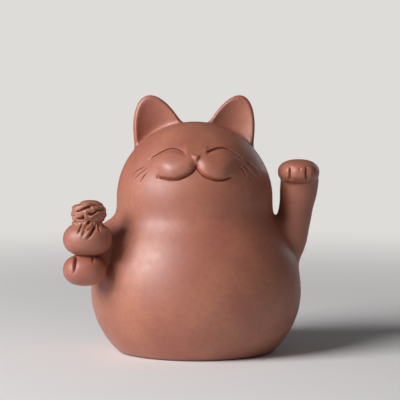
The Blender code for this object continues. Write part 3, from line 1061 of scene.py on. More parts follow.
@dataclass
class Tail:
    """A bob tail pressed on the lower back, curling up towards the cat's left."""

    belly: Belly
    thick: float = 8.4
    thin: float = 6.0
    start_height: float = 9.0
    tip_height: float = 19.0
    sweep: float = 14.0
    stands_off: float = 1.6

    def coil(self) -> Coil:
        """The tail's coil.

        Returns:
            The tail's form.
        """
        stations = []
        for share in (0.0, 0.25, 0.5, 0.75, 1.0):
            azimuth = 180 + self.sweep * math.sin(share * math.pi / 2) - self.sweep / 2
            height = self.start_height + (self.tip_height - self.start_height) * share
            place = self.belly.on_skin(azimuth, height, self.stands_off * share)
            stations.append((*place, (self.thick + (self.thin - self.thick) * share) / 2))
        return Coil(tuple(stations), margin=6.0)


@dataclass
class Figure:
    """The whole cat but its purse, as one skin.

    A melt is how far the slip at a joint reaches, and on the holding shoulder it grows
    with height. The last fields say which faces get smaller: those in front of a depth near
    the nose, and those beside a narrow line or a nick. The pads and the nose are looked for
    in front of a depth, and a pad ends where it stands out by a share of its rise.
    """

    belly: Belly = field(default_factory=Belly)
    head: Head = field(default_factory=lambda: Head(Face()))
    neck_melt: float = 6.2
    arm_melt: float = 3.4
    shoulder_melt: float = 7.4
    shoulder_from: float = 32.0
    shoulder_to: float = 37.0
    raised_melt: float = 4.2
    paw_melt: float = 0.9
    tail_melt: float = 2.2
    thumb_wave: float = 0.16
    nose_front: float = 15.0
    narrow: float = 0.5
    beside_line: float = 0.95
    beside_nick: float = 1.1
    face_front: float = 8.0
    pad_edge: float = 0.4

    def __post_init__(self) -> None:
        """Makes the limbs and lays down the tool lines."""
        self.ears = (Ear(Side.LEFT, 9.12, 8.75, 0.273), Ear(Side.RIGHT, 9.1, 9.25, 0.265))
        self.raised = RaisedArm(self.belly, self.head)
        self.holding = HoldingArm(self.belly)
        self.tail = Tail(self.belly).coil()
        self.raised_arm, self.raised_paw = self.raised.arm(), self.raised.paw()
        self.holding_arm, self.holding_paw = self.holding.arm(), self.holding.paw()
        self.lines = self.head.tool_lines() + self.raised.slits() + self.holding.slits()
        self.nicks = self.raised.nicks()
        self.marks = (*self.lines, *self.nicks, *self.head.dents(), self.head.face.nose, self.head.face)

    def thumbed(self, points: Points) -> Values:
        """The faint unevenness of a hand-pressed wall, never proud of the true round.

        The waves are 20 to 70 mm long, as fingertips leave them, and never line up.

        Args:
            points: Where to ask.

        Returns:
            Depths.
        """
        x, y, z = points.T
        level = np.sin(x / 3.7 + np.sin(z / 5.3)) * np.sin(y / 4.1 + 1.3 * np.sin(x / 6.1))
        wave = level * np.sin(z / 4.6 + 0.7)
        slow = np.sin(x / 9.5 + 1.0) * np.sin(z / 8.5 + y / 11.0)
        return self.thumb_wave * (0.5 + 0.25 * wave + 0.25 * slow)

    def skin(self, points: Points) -> Values:
        """Distances to the skin before the tool marks it.

        Args:
            points: Where to ask.

        Returns:
            Distances.
        """
        body = melt(self.belly.distance(points), self.head.distance(points), self.neck_melt)
        for ear in self.ears:
            body = ear.joined(points, body)
        body = melt(body, self.raised_arm.distance(points), self.raised_melt)
        body = melt(body, self.raised_paw.distance(points), self.paw_melt)
        share = smooth_step(points[:, 2], self.shoulder_from, self.shoulder_to)
        reach = self.arm_melt + (self.shoulder_melt - self.arm_melt) * share
        body = melt(body, self.holding_arm.distance(points), reach)
        body = melt(body, self.holding_paw.distance(points), self.paw_melt)
        body = melt(body, self.tail.distance(points), self.tail_melt)
        return self.belly.flattened(points, body + self.thumbed(points))

    def has_detail(self, points: Points) -> np.ndarray:
        """Says which places lie near a narrow tool line, a nick or the nose.

        Args:
            points: Where to ask.

        Returns:
            True where faces have to be smaller.
        """
        near = (self.head.face.nose.gauge(points) < 2.0) & (points[:, 1] < -self.nose_front)
        for line in self.lines:
            if line.half_width < self.narrow:
                near |= line.across(points)[0] < self.beside_line
        for nick in self.nicks:
            near |= np.linalg.norm(points - nick.place, axis=1) < self.beside_nick
        return near

    def owners(self, points: Points) -> np.ndarray:
        """Which lump each place on the skin belongs to.

        Args:
            points: Places on the skin.

        Returns:
            Indices into Piece.
        """
        order = list(Piece)
        face = self.head.face
        height = points[:, 2]
        round_of = np.minimum(self.belly.distance(points), self.head.distance(points))
        claims = {
            Piece.BELLY: np.where(height < self.head.neck_height, round_of, FAR),
            Piece.HEAD: np.where(height >= self.head.neck_height, round_of, FAR),
            Piece.EAR_LEFT: self.ears[0].distance(points),
            Piece.EAR_RIGHT: self.ears[1].distance(points),
            Piece.RAISED_ARM: self.raised_arm.distance(points),
            Piece.RAISED_PAW: self.raised_paw.distance(points),
            Piece.HOLDING_ARM: self.holding_arm.distance(points),
            Piece.HOLDING_PAW: self.holding_paw.distance(points),
            Piece.TAIL: self.tail.distance(points),
        }
        nearest = np.argmin(np.stack(list(claims.values())), axis=0)
        found = np.array([order.index(piece) for piece in claims])[nearest]
        on_head = (found == order.index(Piece.HEAD)) & (points[:, 1] < -self.face_front)
        puffed = on_head & (face.pad(points) > self.pad_edge * face.pad_rise)
        left = points[:, 0] > face.middle
        found[puffed & left] = order.index(Piece.PAD_LEFT)
        found[puffed & ~left] = order.index(Piece.PAD_RIGHT)
        found[on_head & (face.nose.gauge(points) < 1.0)] = order.index(Piece.NOSE)
        found[height < self.belly.foot_thickness] = order.index(Piece.FOOT)
        return found


# From a form to a mesh


def slopes(skin: Form, points: Points, step: float = 0.02) -> tuple[Values, Points]:
    """Value and slope of a skin at places, from four tries around each.

    Args:
        skin: Gives distances.
        points: Where to ask.
        step: How far out to try.

    Returns:
        The values and the slopes.
    """
    ways = np.array([[1, -1, -1], [-1, -1, 1], [-1, 1, -1], [1, 1, 1]], float)
    tries = np.concatenate([points + step * way for way in ways])
    found = skin(tries).reshape(4, -1)
    return found.mean(0), np.einsum("ij,ik->jk", found, ways) / (4 * step)


def unit(ways: Points) -> Points:
    """The ways at a length of 1."""
    return ways / np.maximum(np.linalg.norm(ways, axis=1), TINY)[:, None]


def settle(skin: Form, points: Points, rounds: int, longest: float = 0.35) -> Points:
    """Moves places onto a skin.

    Args:
        skin: Gives distances.
        points: Places near the skin.
        rounds: How many times to correct them.
        longest: How far a place may move in one round.

    Returns:
        Places on the skin.
    """
    for _ in range(rounds):
        value, slope = slopes(skin, points)
        step = (value / np.maximum((slope**2).sum(1), 0.05))[:, None] * slope
        length = np.linalg.norm(step, axis=1)[:, None]
        points = points - step * np.minimum(1.0, longest / np.maximum(length, TINY))
    return points


def lattice_of(counts: Sequence[int]) -> np.ndarray:
    """Every row of whole numbers below three counts."""
    return np.stack(np.meshgrid(*map(np.arange, counts), indexing="ij"), axis=-1).reshape(-1, 3)


def contour(skin: Form, low: Vec3, high: Vec3, cell: float, block: int = 4) -> tuple[Points, np.ndarray]:
    """Wraps a skin in small four-sided faces.

    The skin is asked once for each block of cells, and again for each cell of the blocks
    that it may pass through.

    Args:
        skin: Gives distances.
        low: Lowest corner of the room that it is in.
        high: Highest corner.
        cell: Size of a face.
        block: How many cells a block has along each side.

    Returns:
        Places and rows of four indices.
    """
    start = np.asarray(low, float)
    band = 3 * cell
    blocks = np.ceil((np.asarray(high) - start) / (cell * block)).astype(int) + 1
    lattice = lattice_of(blocks)
    rough = skin(start + (lattice * block + (block - 1) / 2) * cell)
    values = np.kron(np.sign(rough).reshape(blocks), np.full((block,) * 3, band))
    close = lattice[np.abs(rough) < block * cell * 1.6 + 0.6] * block
    fine = (close[:, None, :] + lattice_of((block,) * 3)[None]).reshape(-1, 3)
    values[tuple(fine.T)] = np.clip(skin(start + fine * cell), -band, band)
    grid = openvdb.FloatGrid(background=band)
    grid.copyFromArray(values.astype(np.float32))
    places, quads = grid.convertToQuads(isovalue=0.0)
    return start + places * cell, quads.astype(int)


@dataclass
class Skin:
    """A skin's mesh, with the true normal at each place and the place that it had before the marks."""

    places: Points
    normals: Points
    faces: np.ndarray
    bare: Points

    @classmethod
    def wrapped(cls, form: Form, low: Vec3, high: Vec3, cell: float,
                marks: Sequence[Mark] = (), fine: Callable[[Points], np.ndarray] | None = None,
                levels: Sequence[float] = ()) -> "Skin":
        """Wraps a form, with smaller faces at its small marks and edges at given heights.

        The marks are pressed straight in, so that their walls stay steep and even.

        Args:
            form: Gives distances.
            low: Lowest corner of the room that it is in.
            high: Highest corner.
            cell: Size of a face.
            marks: Tool lines, dents and the like, each with a removed method.
            fine: Says which places need smaller faces.
            levels: Heights at which the mesh is cut into separate faces.

        Returns:
            The skin.
        """
        places, quads = contour(form, low, high, cell)
        places = settle(form, places, 2)
        body = bmesh.new()
        verts = [body.verts.new(place) for place in places]
        for quad in quads:
            body.faces.new([verts[i] for i in dict.fromkeys(quad)])
        for level in levels:
            everything = body.verts[:] + body.edges[:] + body.faces[:]
            plane = {"plane_co": (0, 0, level), "plane_no": (0, 0, 1)}
            bmesh.ops.bisect_plane(body, geom=everything, dist=1e-4, **plane)
        for _ in range(2 if fine else 0):
            near = fine(np.array([vert.co for vert in body.verts]))
            body.verts.index_update()
            edges = [e for e in body.edges if near[e.verts[0].index] and near[e.verts[1].index]]
            bmesh.ops.subdivide_edges(body, edges=edges, cuts=1, use_grid_fill=True)
        bmesh.ops.triangulate(body, faces=body.faces[:])
        body.verts.index_update()
        places = np.array([vert.co for vert in body.verts])
        faces = np.array([[v.index for v in face.verts] for face in body.faces])
        body.free()
        held = np.zeros(len(places), bool)
        for level in levels:
            held |= np.abs(places[:, 2] - level) < LEVEL_SLACK
        moved = settle(form, places, 3)
        moved[held, 2] = places[held, 2]
        _, slope = slopes(form, moved)
        normals = unit(slope)
        if not marks:
            return cls(moved, normals, faces, moved)
        depth, fall = slopes(lambda near: sum(mark.removed(near) for mark in marks), moved)
        fall -= (fall * normals).sum(1)[:, None] * normals
        _, even = slopes(form, moved, 0.4)
        return cls(moved - depth[:, None] * unit(even), unit(normals + fall), faces, moved)


@dataclass
class Sheet:
    """One piece's mesh while it is being closed."""

    places: list[list[float]]
    normals: list[tuple[float, float, float]]
    faces: list[tuple[int, int, int]]

    @classmethod
    def cut_from(cls, skin: Skin, keep: np.ndarray) -> "Sheet":
        """Takes the chosen faces of a skin.

        Args:
            skin: The whole skin.
            keep: True for each face to take.

        Returns:
            The piece, still open.
        """
        used, renumbered = np.unique(skin.faces[keep], return_inverse=True)
        faces = list(map(tuple, renumbered.reshape(-1, 3).tolist()))
        return cls(skin.places[used].tolist(), list(map(tuple, skin.normals[used])), faces)

    def open_loops(self) -> list[list[int]]:
        """The piece's open edges, in loops.

        Returns:
            Rows of place numbers.
        """
        directed = {(a, b) for f in self.faces for a, b in ((f[0], f[1]), (f[1], f[2]), (f[2], f[0]))}
        following: dict[int, list[int]] = {}
        for a, b in directed:
            if (b, a) not in directed:
                following.setdefault(a, []).append(b)
        loops = []
        for start in sorted(following):
            while following[start]:
                trail = [start]
                while trail:
                    here = following[trail[-1]].pop()
                    if here in trail:
                        cut = trail.index(here)
                        loops.append(trail[cut:])
                        trail = trail[:cut]
                        if not cut:
                            break
                    trail.append(here)
        return loops

    def add_place(self, place: Sequence[float]) -> int:
        """Adds a place inside the clay, which has no skin and so no normal.

        Args:
            place: Where it is.

        Returns:
            Its number.
        """
        self.places.append([float(c) for c in place])
        self.normals.append((0.0, 0.0, 0.0))
        return len(self.places) - 1

    def fan(self, loop: Sequence[int], sunk: float = 1.0) -> None:
        """Closes a loop with a fan whose middle is sunk into the clay.

        Args:
            loop: An open loop.
            sunk: How deep the middle lies.
        """
        rim = np.array([self.places[i] for i in loop])
        normal = np.array([self.normals[i] for i in loop]).mean(0)
        middle = rim.mean(0) - sunk * normal / max(np.linalg.norm(normal), TINY)
        centre = self.add_place(middle)
        self.faces += [(b, a, centre) for a, b in zip(loop, [*loop[1:], loop[0]])]

    def parted(self, loop: Sequence[int], level: float,
               steps: int = 12) -> tuple[list[int], list[list[int]]]:
        """Completes a level ring where a limb interrupts it, with new places inside the clay.

        Args:
            loop: An open loop that runs mostly at the level.
            level: Height of the ring.
            steps: How many places to add at each limb.

        Returns:
            The whole ring, and the loops that are left open at the limbs.
        """
        on = [abs(self.places[i][2] - level) < LEVEL_SLACK for i in loop]
        if all(on):
            return list(loop), []
        start = next(k for k in range(len(loop)) if on[k] and not on[k - 1])
        loop, on = [*loop[start:], *loop[:start]], [*on[start:], *on[:start]]
        ring, limbs, run = [], [], []
        for number, flat in zip([*loop, loop[0]], [*on, True]):
            if not flat:
                run.append(number)
                continue
            if run:
                before = ring[-1]
                chain = self.bridged(before, number, level, steps)
                limbs.append([before, *run, number, *reversed(chain)])
                ring += chain
                run = []
            ring.append(number)
        return ring[:-1], limbs

    def bridged(self, start: int, end: int, level: float, steps: int) -> list[int]:
        """Adds places on an arc round the upright axis between two places.

        Args:
            start: Number of the place before the gap.
            end: Number of the place after it.
            level: Height of the arc.
            steps: How many places to add.

        Returns:
            Numbers of the new places.
        """
        a, b = (np.array(self.places[i][:2]) for i in (start, end))
        turn_a, turn_b = (math.atan2(p[1], p[0]) for p in (a, b))
        turn_b += 2 * math.pi * round((turn_a - turn_b) / (2 * math.pi))
        chain = []
        for share in np.linspace(0, 1, steps + 2)[1:-1]:
            turn = turn_a + (turn_b - turn_a) * share
            far = np.linalg.norm(a) + (np.linalg.norm(b) - np.linalg.norm(a)) * share
            chain.append(self.add_place((far * math.cos(turn), far * math.sin(turn), level)))
        return chain

    def by_turn(self, ring: Sequence[int], about: Vec2) -> list[tuple[float, int]]:
        """A ring's places in the order of their turn, with the first one again at the end.

        Args:
            ring: Numbers of the places.
            about: What the ring goes round.

        Returns:
            Turns in radians, each with its place's number.
        """
        x, y = about
        found = sorted((math.atan2(self.places[i][1] - y, self.places[i][0] - x), i) for i in ring)
        return [*found, (found[0][0] + 2 * math.pi, found[0][1])]

    def stitch(self, outer: Sequence[int], inner: Sequence[int], upward: bool,
               about: Vec2 = (0.0, 0.0)) -> None:
        """Joins two level rings with a flat rim.

        Args:
            outer: The outer ring.
            inner: The inner ring.
            upward: True if the rim faces up.
            about: What both rings go round.
        """
        a, b = self.by_turn(outer, about), self.by_turn(inner, about)
        i = j = 0
        while i < len(a) - 1 or j < len(b) - 1:
            outer_turn = j == len(b) - 1 or (i < len(a) - 1 and a[i + 1][0] < b[j + 1][0])
            if outer_turn:
                face = (a[i][1], a[i + 1][1], b[j][1])
                i += 1
            else:
                face = (b[j + 1][1], b[j][1], a[i][1])
                j += 1
            self.faces.append(face if upward else face[::-1])

    def wall(self, rings: Sequence[Sequence[int]]) -> None:
        """Joins rings of equal length, each above the last, with faces that look inward.

        Args:
            rings: Numbers of their places.
        """
        for lower, upper in zip(rings, rings[1:]):
            count = len(lower)
            for i in range(count):
                a, b, c, d = lower[i], lower[(i + 1) % count], upper[(i + 1) % count], upper[i]
                self.faces += [(c, b, a), (d, c, a)]

    def to_object(self, name: str) -> bpy.types.Object:
        """Makes the Blender object, in metres, with the skin's own normals and flat caps.

        Args:
            name: Its name.

        Returns:
            The object.
        """
        mesh = bpy.data.meshes.new(name)
        mesh.from_pydata((np.array(self.places) * MM).tolist(), [], self.faces)
        mesh.shade_smooth()
        corners = np.array(self.faces).reshape(-1)
        normals = np.array(self.normals)[corners]
        capped = np.repeat((np.linalg.norm(normals, axis=1) < 0.5).reshape(-1, 3).any(1), 3)
        normals[capped] = 0.0
        mesh.normals_split_custom_set([tuple(n) for n in normals])
        mesh.update()
        item = bpy.data.objects.new(name, mesh)
        bpy.context.scene.collection.objects.link(item)
        return item


# Clays


def linear(hex_colour: str) -> tuple[float, float, float, float]:
    """Turns an sRGB hex colour, such as "#A05F4B", into linear red, green, blue and 1."""
    parts = [int(hex_colour[i:i + 2], 16) / 255 for i in (1, 3, 5)]
    return (*(p / 12.92 if p <= 0.04045 else ((p + 0.055) / 1.055) ** 2.4 for p in parts), 1.0)


def add_node(tree: Tree, kind: str, settings: dict[str, Any] | None = None, values: Sockets | None = None,
             links: Sockets | None = None) -> bpy.types.Node:
    """Adds a node with its settings, socket values and links.

    Args:
        tree: Where it goes.
        kind: Its type name.
        settings: Its own properties.
        values: Values for input sockets, by name or number.
        links: Output sockets to link, by input name or number.

    Returns:
        The node.
    """
    node = tree.nodes.new(kind)
    for key, value in (settings or {}).items():
        setattr(node, key, value)
    for key, value in (values or {}).items():
        node.inputs[key].default_value = value
    for key, socket in (links or {}).items():
        tree.links.new(socket, node.inputs[key])
    return node


@dataclass(frozen=True)
class Scatter:
    """Specks strewn through the clay, one to a cell at most.

    The size is a speck's radius as a share of its cell, the share says how many cells hold
    one, and the seed keeps this scatter off the others.
    """

    spacing_mm: float
    size: float
    share: float
    seed: float

    def add_to(self, tree: Tree, where: Any) -> Any:
        """Adds the pattern to a material.

        Args:
            tree: The material's tree.
            where: Socket with the place.

        Returns:
            The output socket: 1 inside a speck, 0 between them.
        """
        shift = {1: (self.seed, self.seed * 0.7, self.seed * 1.3)}
        shifted = add_node(tree, "ShaderNodeVectorMath", {"operation": "ADD"}, shift, {0: where})
        scale = {"Scale": 1 / (self.spacing_mm * MM)}
        links = {"Vector": shifted.outputs[0]}
        cells = add_node(tree, "ShaderNodeTexVoronoi", {"feature": "F1"}, scale, links)
        edge = {"From Min": self.size, "From Max": self.size * 0.5, "To Min": 0.0, "To Max": 1.0}
        soft = {"interpolation_type": "SMOOTHSTEP"}
        inside = add_node(tree, "ShaderNodeMapRange", soft, edge, {"Value": cells.outputs["Distance"]})
        fewer, links = {"operation": "LESS_THAN"}, {0: cells.outputs["Color"]}
        chosen = add_node(tree, "ShaderNodeMath", fewer, {1: self.share}, links)
        both = {0: inside.outputs[0], 1: chosen.outputs[0]}
        return add_node(tree, "ShaderNodeMath", {"operation": "MULTIPLY"}, {}, both).outputs[0]


@dataclass(frozen=True)
class Clouds:
    """Soft clouds of one real size: the noise from low to high is stretched over a span."""

    size_mm: float
    low: float
    high: float
    span: Vec2

    def add_to(self, tree: Tree, where: Any) -> Any:
        """Adds the pattern to a material.

        Args:
            tree: The material's tree.
            where: Socket with the place.

        Returns:
            The output socket.
        """
        noise = {"Scale": 1 / (self.size_mm * MM), "Detail": 2.5}
        found = add_node(tree, "ShaderNodeTexNoise", {}, noise, {"Vector": where})
        least, most = self.span
        stretch = {"From Min": self.low, "From Max": self.high, "To Min": least, "To Max": most}
        return add_node(tree, "ShaderNodeMapRange", {}, stretch, {"Value": found.outputs[0]}).outputs[0]


@dataclass(frozen=True)
class SandyClay:
    """Red-brown zisha stoneware: sand and iron-rich clay, fired unglazed.

    The grit shows as pale and dark specks over soft clouds of colour. The burnisher packs
    the skin to a satin, so a thin rough coat spreads the light in a broad, pinkish gleam.
    """

    name: str
    body: str
    warm: str
    deep: str
    grit: str = "#C08A72"
    iron: str = "#5A3428"
    # Colour of the painted shade on the foot's lowest edge, where it meets the table.
    foot_painted_shade: str = "#8A5646"
    clouds: Clouds = Clouds(13.0, 0.38, 0.66, (0.0, 1.0))
    mottle: Clouds = Clouds(1.6, 0.4, 0.75, (0.0, 0.4))
    grit_scatter: Scatter = Scatter(2.3, 0.07, 0.45, 0.31)
    iron_scatter: Scatter = Scatter(2.9, 0.06, 0.4, 0.77)
    pore_scatter: Scatter = Scatter(1.5, 0.075, 0.3, 0.13)
    ior: float = 1.5
    roughness: float = 0.47
    roughness_spread: float = 0.06
    polish_mm: float = 2.2
    gleam: float = 0.5
    gleam_roughness: float = 0.5
    # The finest sand, about 0.1 mm, doesn't show in the render, so the grain is drawn coarser.
    grain_mm: float = 0.42
    grain_depth_mm: float = 0.016
    pore_depth_mm: float = 0.05
    # Height under which the colour is darkened as painted shade and the roughness is raised.
    painted_shade_and_roughness_below_mm: float = 0.0
    scraped_roughness: float = 0.3

    def layered(self, tree: Tree, layers: Sequence[tuple[Any, str]]) -> Any:
        """Lays colours over the body's, each by its own share.

        Args:
            tree: The material's tree.
            layers: For each colour, the socket with its share and its hex value.

        Returns:
            The output socket with the colour.
        """
        links: Sockets = {}
        for share, over in layers:
            colours = {6: linear(self.body), 7: linear(over)}
            mixed = add_node(tree, "ShaderNodeMix", {"data_type": "RGBA"}, colours, {**links, 0: share})
            links = {6: mixed.outputs[2]}
        return links[6]

    def relief(self, tree: Tree, where: Any) -> Any:
        """The fine grain and the pores, as a bump too small for the mesh.

        Args:
            tree: The material's tree.
            where: Socket with the place.

        Returns:
            The output socket with the normal.
        """
        fine = {"Scale": 1 / (self.grain_mm * MM), "Detail": 2.0, "Roughness": 0.6}
        grain = add_node(tree, "ShaderNodeTexNoise", {}, fine, {"Vector": where})
        raised = {"Strength": 1.0, "Distance": self.grain_depth_mm * MM}
        grained = add_node(tree, "ShaderNodeBump", {}, raised, {"Height": grain.outputs[0]})
        sunk = {"Strength": 1.0, "Distance": self.pore_depth_mm * MM}
        links = {"Height": self.pore_scatter.add_to(tree, where), "Normal": grained.outputs[0]}
        return add_node(tree, "ShaderNodeBump", {"invert": True}, sunk, links).outputs[0]

    def build(self) -> bpy.types.Material:
        """Builds the material.

        Returns:
            The material.
        """
        finish = bpy.data.materials.new(self.name)
        finish.use_nodes = True
        tree = finish.node_tree
        tree.nodes.clear()
        where = add_node(tree, "ShaderNodeTexCoord").outputs["Object"]
        layers = [
            (self.clouds.add_to(tree, where), self.warm),
            (self.mottle.add_to(tree, where), self.deep),
            (self.grit_scatter.add_to(tree, where), self.grit),
            (self.iron_scatter.add_to(tree, where), self.iron),
        ]
        span = (self.roughness - self.roughness_spread, self.roughness + self.roughness_spread)
        rough = Clouds(self.polish_mm, 0.3, 0.7, span).add_to(tree, where)
        # Painted shade: the colour darkens towards the table over the foot's lowest edge, and the roughness
        # rises there too.
        if self.painted_shade_and_roughness_below_mm:
            height = add_node(tree, "ShaderNodeSeparateXYZ", {}, {}, {0: where}).outputs[2]
            edge = self.painted_shade_and_roughness_below_mm * MM
            fade = {"From Min": edge, "From Max": edge / 3}
            bare = add_node(tree, "ShaderNodeMapRange", {}, fade, {"Value": height}).outputs[0]
            layers.append((bare, self.foot_painted_shade))
            rougher = {"operation": "MULTIPLY_ADD", "use_clamp": True}
            links = {0: bare, 2: rough}
            rough = add_node(tree, "ShaderNodeMath", rougher, {1: self.scraped_roughness}, links).outputs[0]
        satin = {"IOR": self.ior, "Metallic": 0.0}
        satin |= {"Coat Weight": self.gleam, "Coat Roughness": self.gleam_roughness}
        links = {"Base Color": self.layered(tree, layers), "Roughness": rough}
        links["Normal"] = self.relief(tree, where)
        shader = add_node(tree, "ShaderNodeBsdfPrincipled", {}, satin, links)
        add_node(tree, "ShaderNodeOutputMaterial", {}, {}, {"Surface": shader.outputs[0]})
        return finish


# Zisha clay burnished with a horn spatula before firing: a satin skin with a soft gleam.
BURNISHED = SandyClay("burnished_zisha_clay", "#9D5C48", "#A96A51", "#8A4F3F")
# The same clay modelled with fingers and left: a little drier and grainier to the eye.
PURSE = SandyClay(
    "modelled_zisha_clay", "#9A5D49", "#A36A53", "#874D3D", roughness=0.52, grain_depth_mm=0.02,
)
# The burnished clay again for the flat foot: matte at its lowest edge, and darker there as painted shade
# where it meets the table.
FOOT = SandyClay("foot_zisha_clay_with_painted_shade", "#9D5C48", "#A96A51", "#8A4F3F", painted_shade_and_roughness_below_mm=0.9)


# Building and dressing


@dataclass
class Cat:
    """Parts the cat's skin into its lumps, closes each one and dresses it.

    A loop counts as a ring round the hollow if it has more than the least number of places
    and more than the least share of them lies at a level.
    """

    figure: Figure
    cell: float = 0.45
    low: Vec3 = (-43.0, -34.0, -1.5)
    high: Vec3 = (41.0, 38.0, 83.0)
    vent_clear: float = 4.5
    vent_top: float = 9.0
    ring_places: int = 120
    wall_rings: int = 14
    least_places: int = 30
    least_share: float = 0.3
    dome_tilt: float = 86.0

    def build(self) -> None:
        """Builds every piece of the cat but the purse."""
        figure, room = self.figure, (self.low, self.high)
        levels = (figure.belly.foot_thickness, figure.head.neck_height)
        skin = Skin.wrapped(figure.skin, *room, self.cell, figure.marks, figure.has_detail, levels)
        centres = skin.bare[skin.faces].mean(1)
        owners = figure.owners(centres)
        in_vent = self.in_vent(centres)
        # The foot's clay carries painted shade at its lowest edge, where it meets the table.
        burnished, foot_painted_shade = BURNISHED.build(), FOOT.build()
        for number, piece in enumerate(Piece):
            keep = (owners == number) & ~in_vent
            if not keep.any():
                continue
            sheet = Sheet.cut_from(skin, keep)
            self.close(sheet, piece)
            item = sheet.to_object("fired_" + piece.node)
            settle_on_frame(item, piece, foot_painted_shade if piece is Piece.FOOT else burnished)

    def in_vent(self, points: Points) -> np.ndarray:
        """Says which places lie on the end of the vent's hole, above the foot.

        Args:
            points: Where to ask.

        Returns:
            True where they do.
        """
        belly = self.figure.belly
        near = np.hypot(points[:, 0], points[:, 1] - belly.vent_back) < self.vent_clear
        return near & (points[:, 2] > belly.foot_thickness) & (points[:, 2] < self.vent_top)

    def close(self, sheet: Sheet, piece: Piece) -> None:
        """Closes a piece: walls round the hollow, and caps where lumps were luted on.

        Args:
            sheet: The open piece.
            piece: Which lump it is.
        """
        foot_top, neck = self.figure.belly.foot_thickness, self.figure.head.neck_height
        levels = (foot_top, neck) if piece in (Piece.FOOT, Piece.BELLY, Piece.HEAD) else ()
        rings = self.capped(sheet, levels)
        if piece is Piece.FOOT:
            vent, *_, rim = sorted(rings[foot_top], key=len)
            sheet.stitch(rim, vent, True, (0.0, self.figure.belly.vent_back))
        elif piece is Piece.BELLY:
            wall = self.belly_wall(sheet)
            sheet.stitch(rings[foot_top][0], wall[0], False)
            sheet.stitch(rings[neck][0], wall[-1], True)
        elif piece is Piece.HEAD:
            sheet.stitch(rings[neck][0], self.head_wall(sheet)[0], False)

    def capped(self, sheet: Sheet, levels: Sequence[float]) -> dict[float, list[list[int]]]:
        """Caps a piece where lumps were luted on, and gathers the rings round the hollow.

        Args:
            sheet: The open piece.
            levels: Heights at which it meets the piece above or below.

        Returns:
            The rings that are left open at each level.
        """
        rings: dict[float, list[list[int]]] = {level: [] for level in levels}
        for loop in sheet.open_loops():
            heights = np.array([sheet.places[i][2] for i in loop])
            level = next((level for level in levels if self.runs_at(heights, level)), None)
            if level is None:
                sheet.fan(loop)
                continue
            ring, limbs = sheet.parted(loop, level)
            rings[level].append(ring)
            for limb in limbs:
                sheet.fan(limb)
        return rings

    def runs_at(self, heights: Values, level: float) -> bool:
        """Says whether a loop of places at these heights is a ring at a level."""
        share = np.mean(np.abs(heights - level) < LEVEL_SLACK)
        return len(heights) > self.least_places and share > self.least_share

    def belly_wall(self, sheet: Sheet) -> list[list[int]]:
        """Adds the inner wall of the belly.

        Args:
            sheet: The belly.

        Returns:
            The wall's rings, from the foot up.
        """
        belly = self.figure.belly
        ratio = belly.depth / belly.width
        heights = np.linspace(belly.foot_thickness, self.figure.head.neck_height, self.wall_rings)
        rings = [self.hollow_ring(sheet, belly.radius_at(z) - belly.wall, ratio, z, 0.0) for z in heights]
        sheet.wall(rings)
        return rings

    def head_wall(self, sheet: Sheet) -> list[list[int]]:
        """Adds the inner wall of the head, a dome.

        Args:
            sheet: The head.

        Returns:
            The wall's rings, from the neck up.
        """
        head, wall = self.figure.head, self.figure.belly.wall
        ratio = head.depth / head.width
        rise = head.crown_rise - wall
        lowest = math.asin((head.neck_height - head.middle_height) / rise)
        rings = []
        for tilt in np.linspace(lowest, math.radians(self.dome_tilt), self.wall_rings):
            radius = (head.width / 2 - wall) * math.cos(tilt)
            height = head.middle_height + rise * math.sin(tilt)
            rings.append(self.hollow_ring(sheet, radius, ratio, height, head.side_shift))
        sheet.wall(rings)
        top = sheet.add_place((head.side_shift, 0, head.middle_height + rise))
        sheet.faces += [(b, a, top) for a, b in zip(rings[-1], [*rings[-1][1:], rings[-1][0]])]
        return rings

    def hollow_ring(self, sheet: Sheet, radius: float, ratio: float, height: float,
                    shift: float) -> list[int]:
        """Adds a level ring of places on the hollow's wall.

        Args:
            sheet: The piece.
            radius: Half width of the ring.
            ratio: Its depth over its width.
            height: Its height.
            shift: How far its middle lies towards +X.

        Returns:
            Numbers of the places.
        """
        turns = np.linspace(0, 2 * math.pi, self.ring_places, endpoint=False)
        return [
            sheet.add_place((shift + radius * math.cos(turn), radius * ratio * math.sin(turn), height))
            for turn in turns
        ]


def settle_on_frame(item: bpy.types.Object, piece: Piece, clay: bpy.types.Material) -> None:
    """Dresses a piece and lets it stand for its frame node.

    Args:
        item: The piece.
        piece: Which lump it is.
        clay: Its material.
    """
    item.data.materials.append(clay)
    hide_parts(piece.node)
    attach(item, "root")
    LOG.info("%s: %d faces, %s", item.name, len(item.data.polygons), clay.name)


def turned(path: Sequence[Vec3], outward: Sequence[Vec3], axis: np.ndarray,
           turn: float) -> Laid:
    """Turns a line that was laid at the front about an upright axis.

    Args:
        path: Its places.
        outward: The outward way at each.
        axis: A place on the axis.
        turn: Degrees towards +X.

    Returns:
        The turned places and ways.
    """
    cosine, sine = math.cos(math.radians(turn)), math.sin(math.radians(turn))
    spin = np.array([[cosine, sine, 0.0], [-sine, cosine, 0.0], [0.0, 0.0, 1.0]])
    places = (np.array(path) - axis) @ spin + axis
    return tuple(map(tuple, places)), tuple(map(tuple, np.array(outward) @ spin))


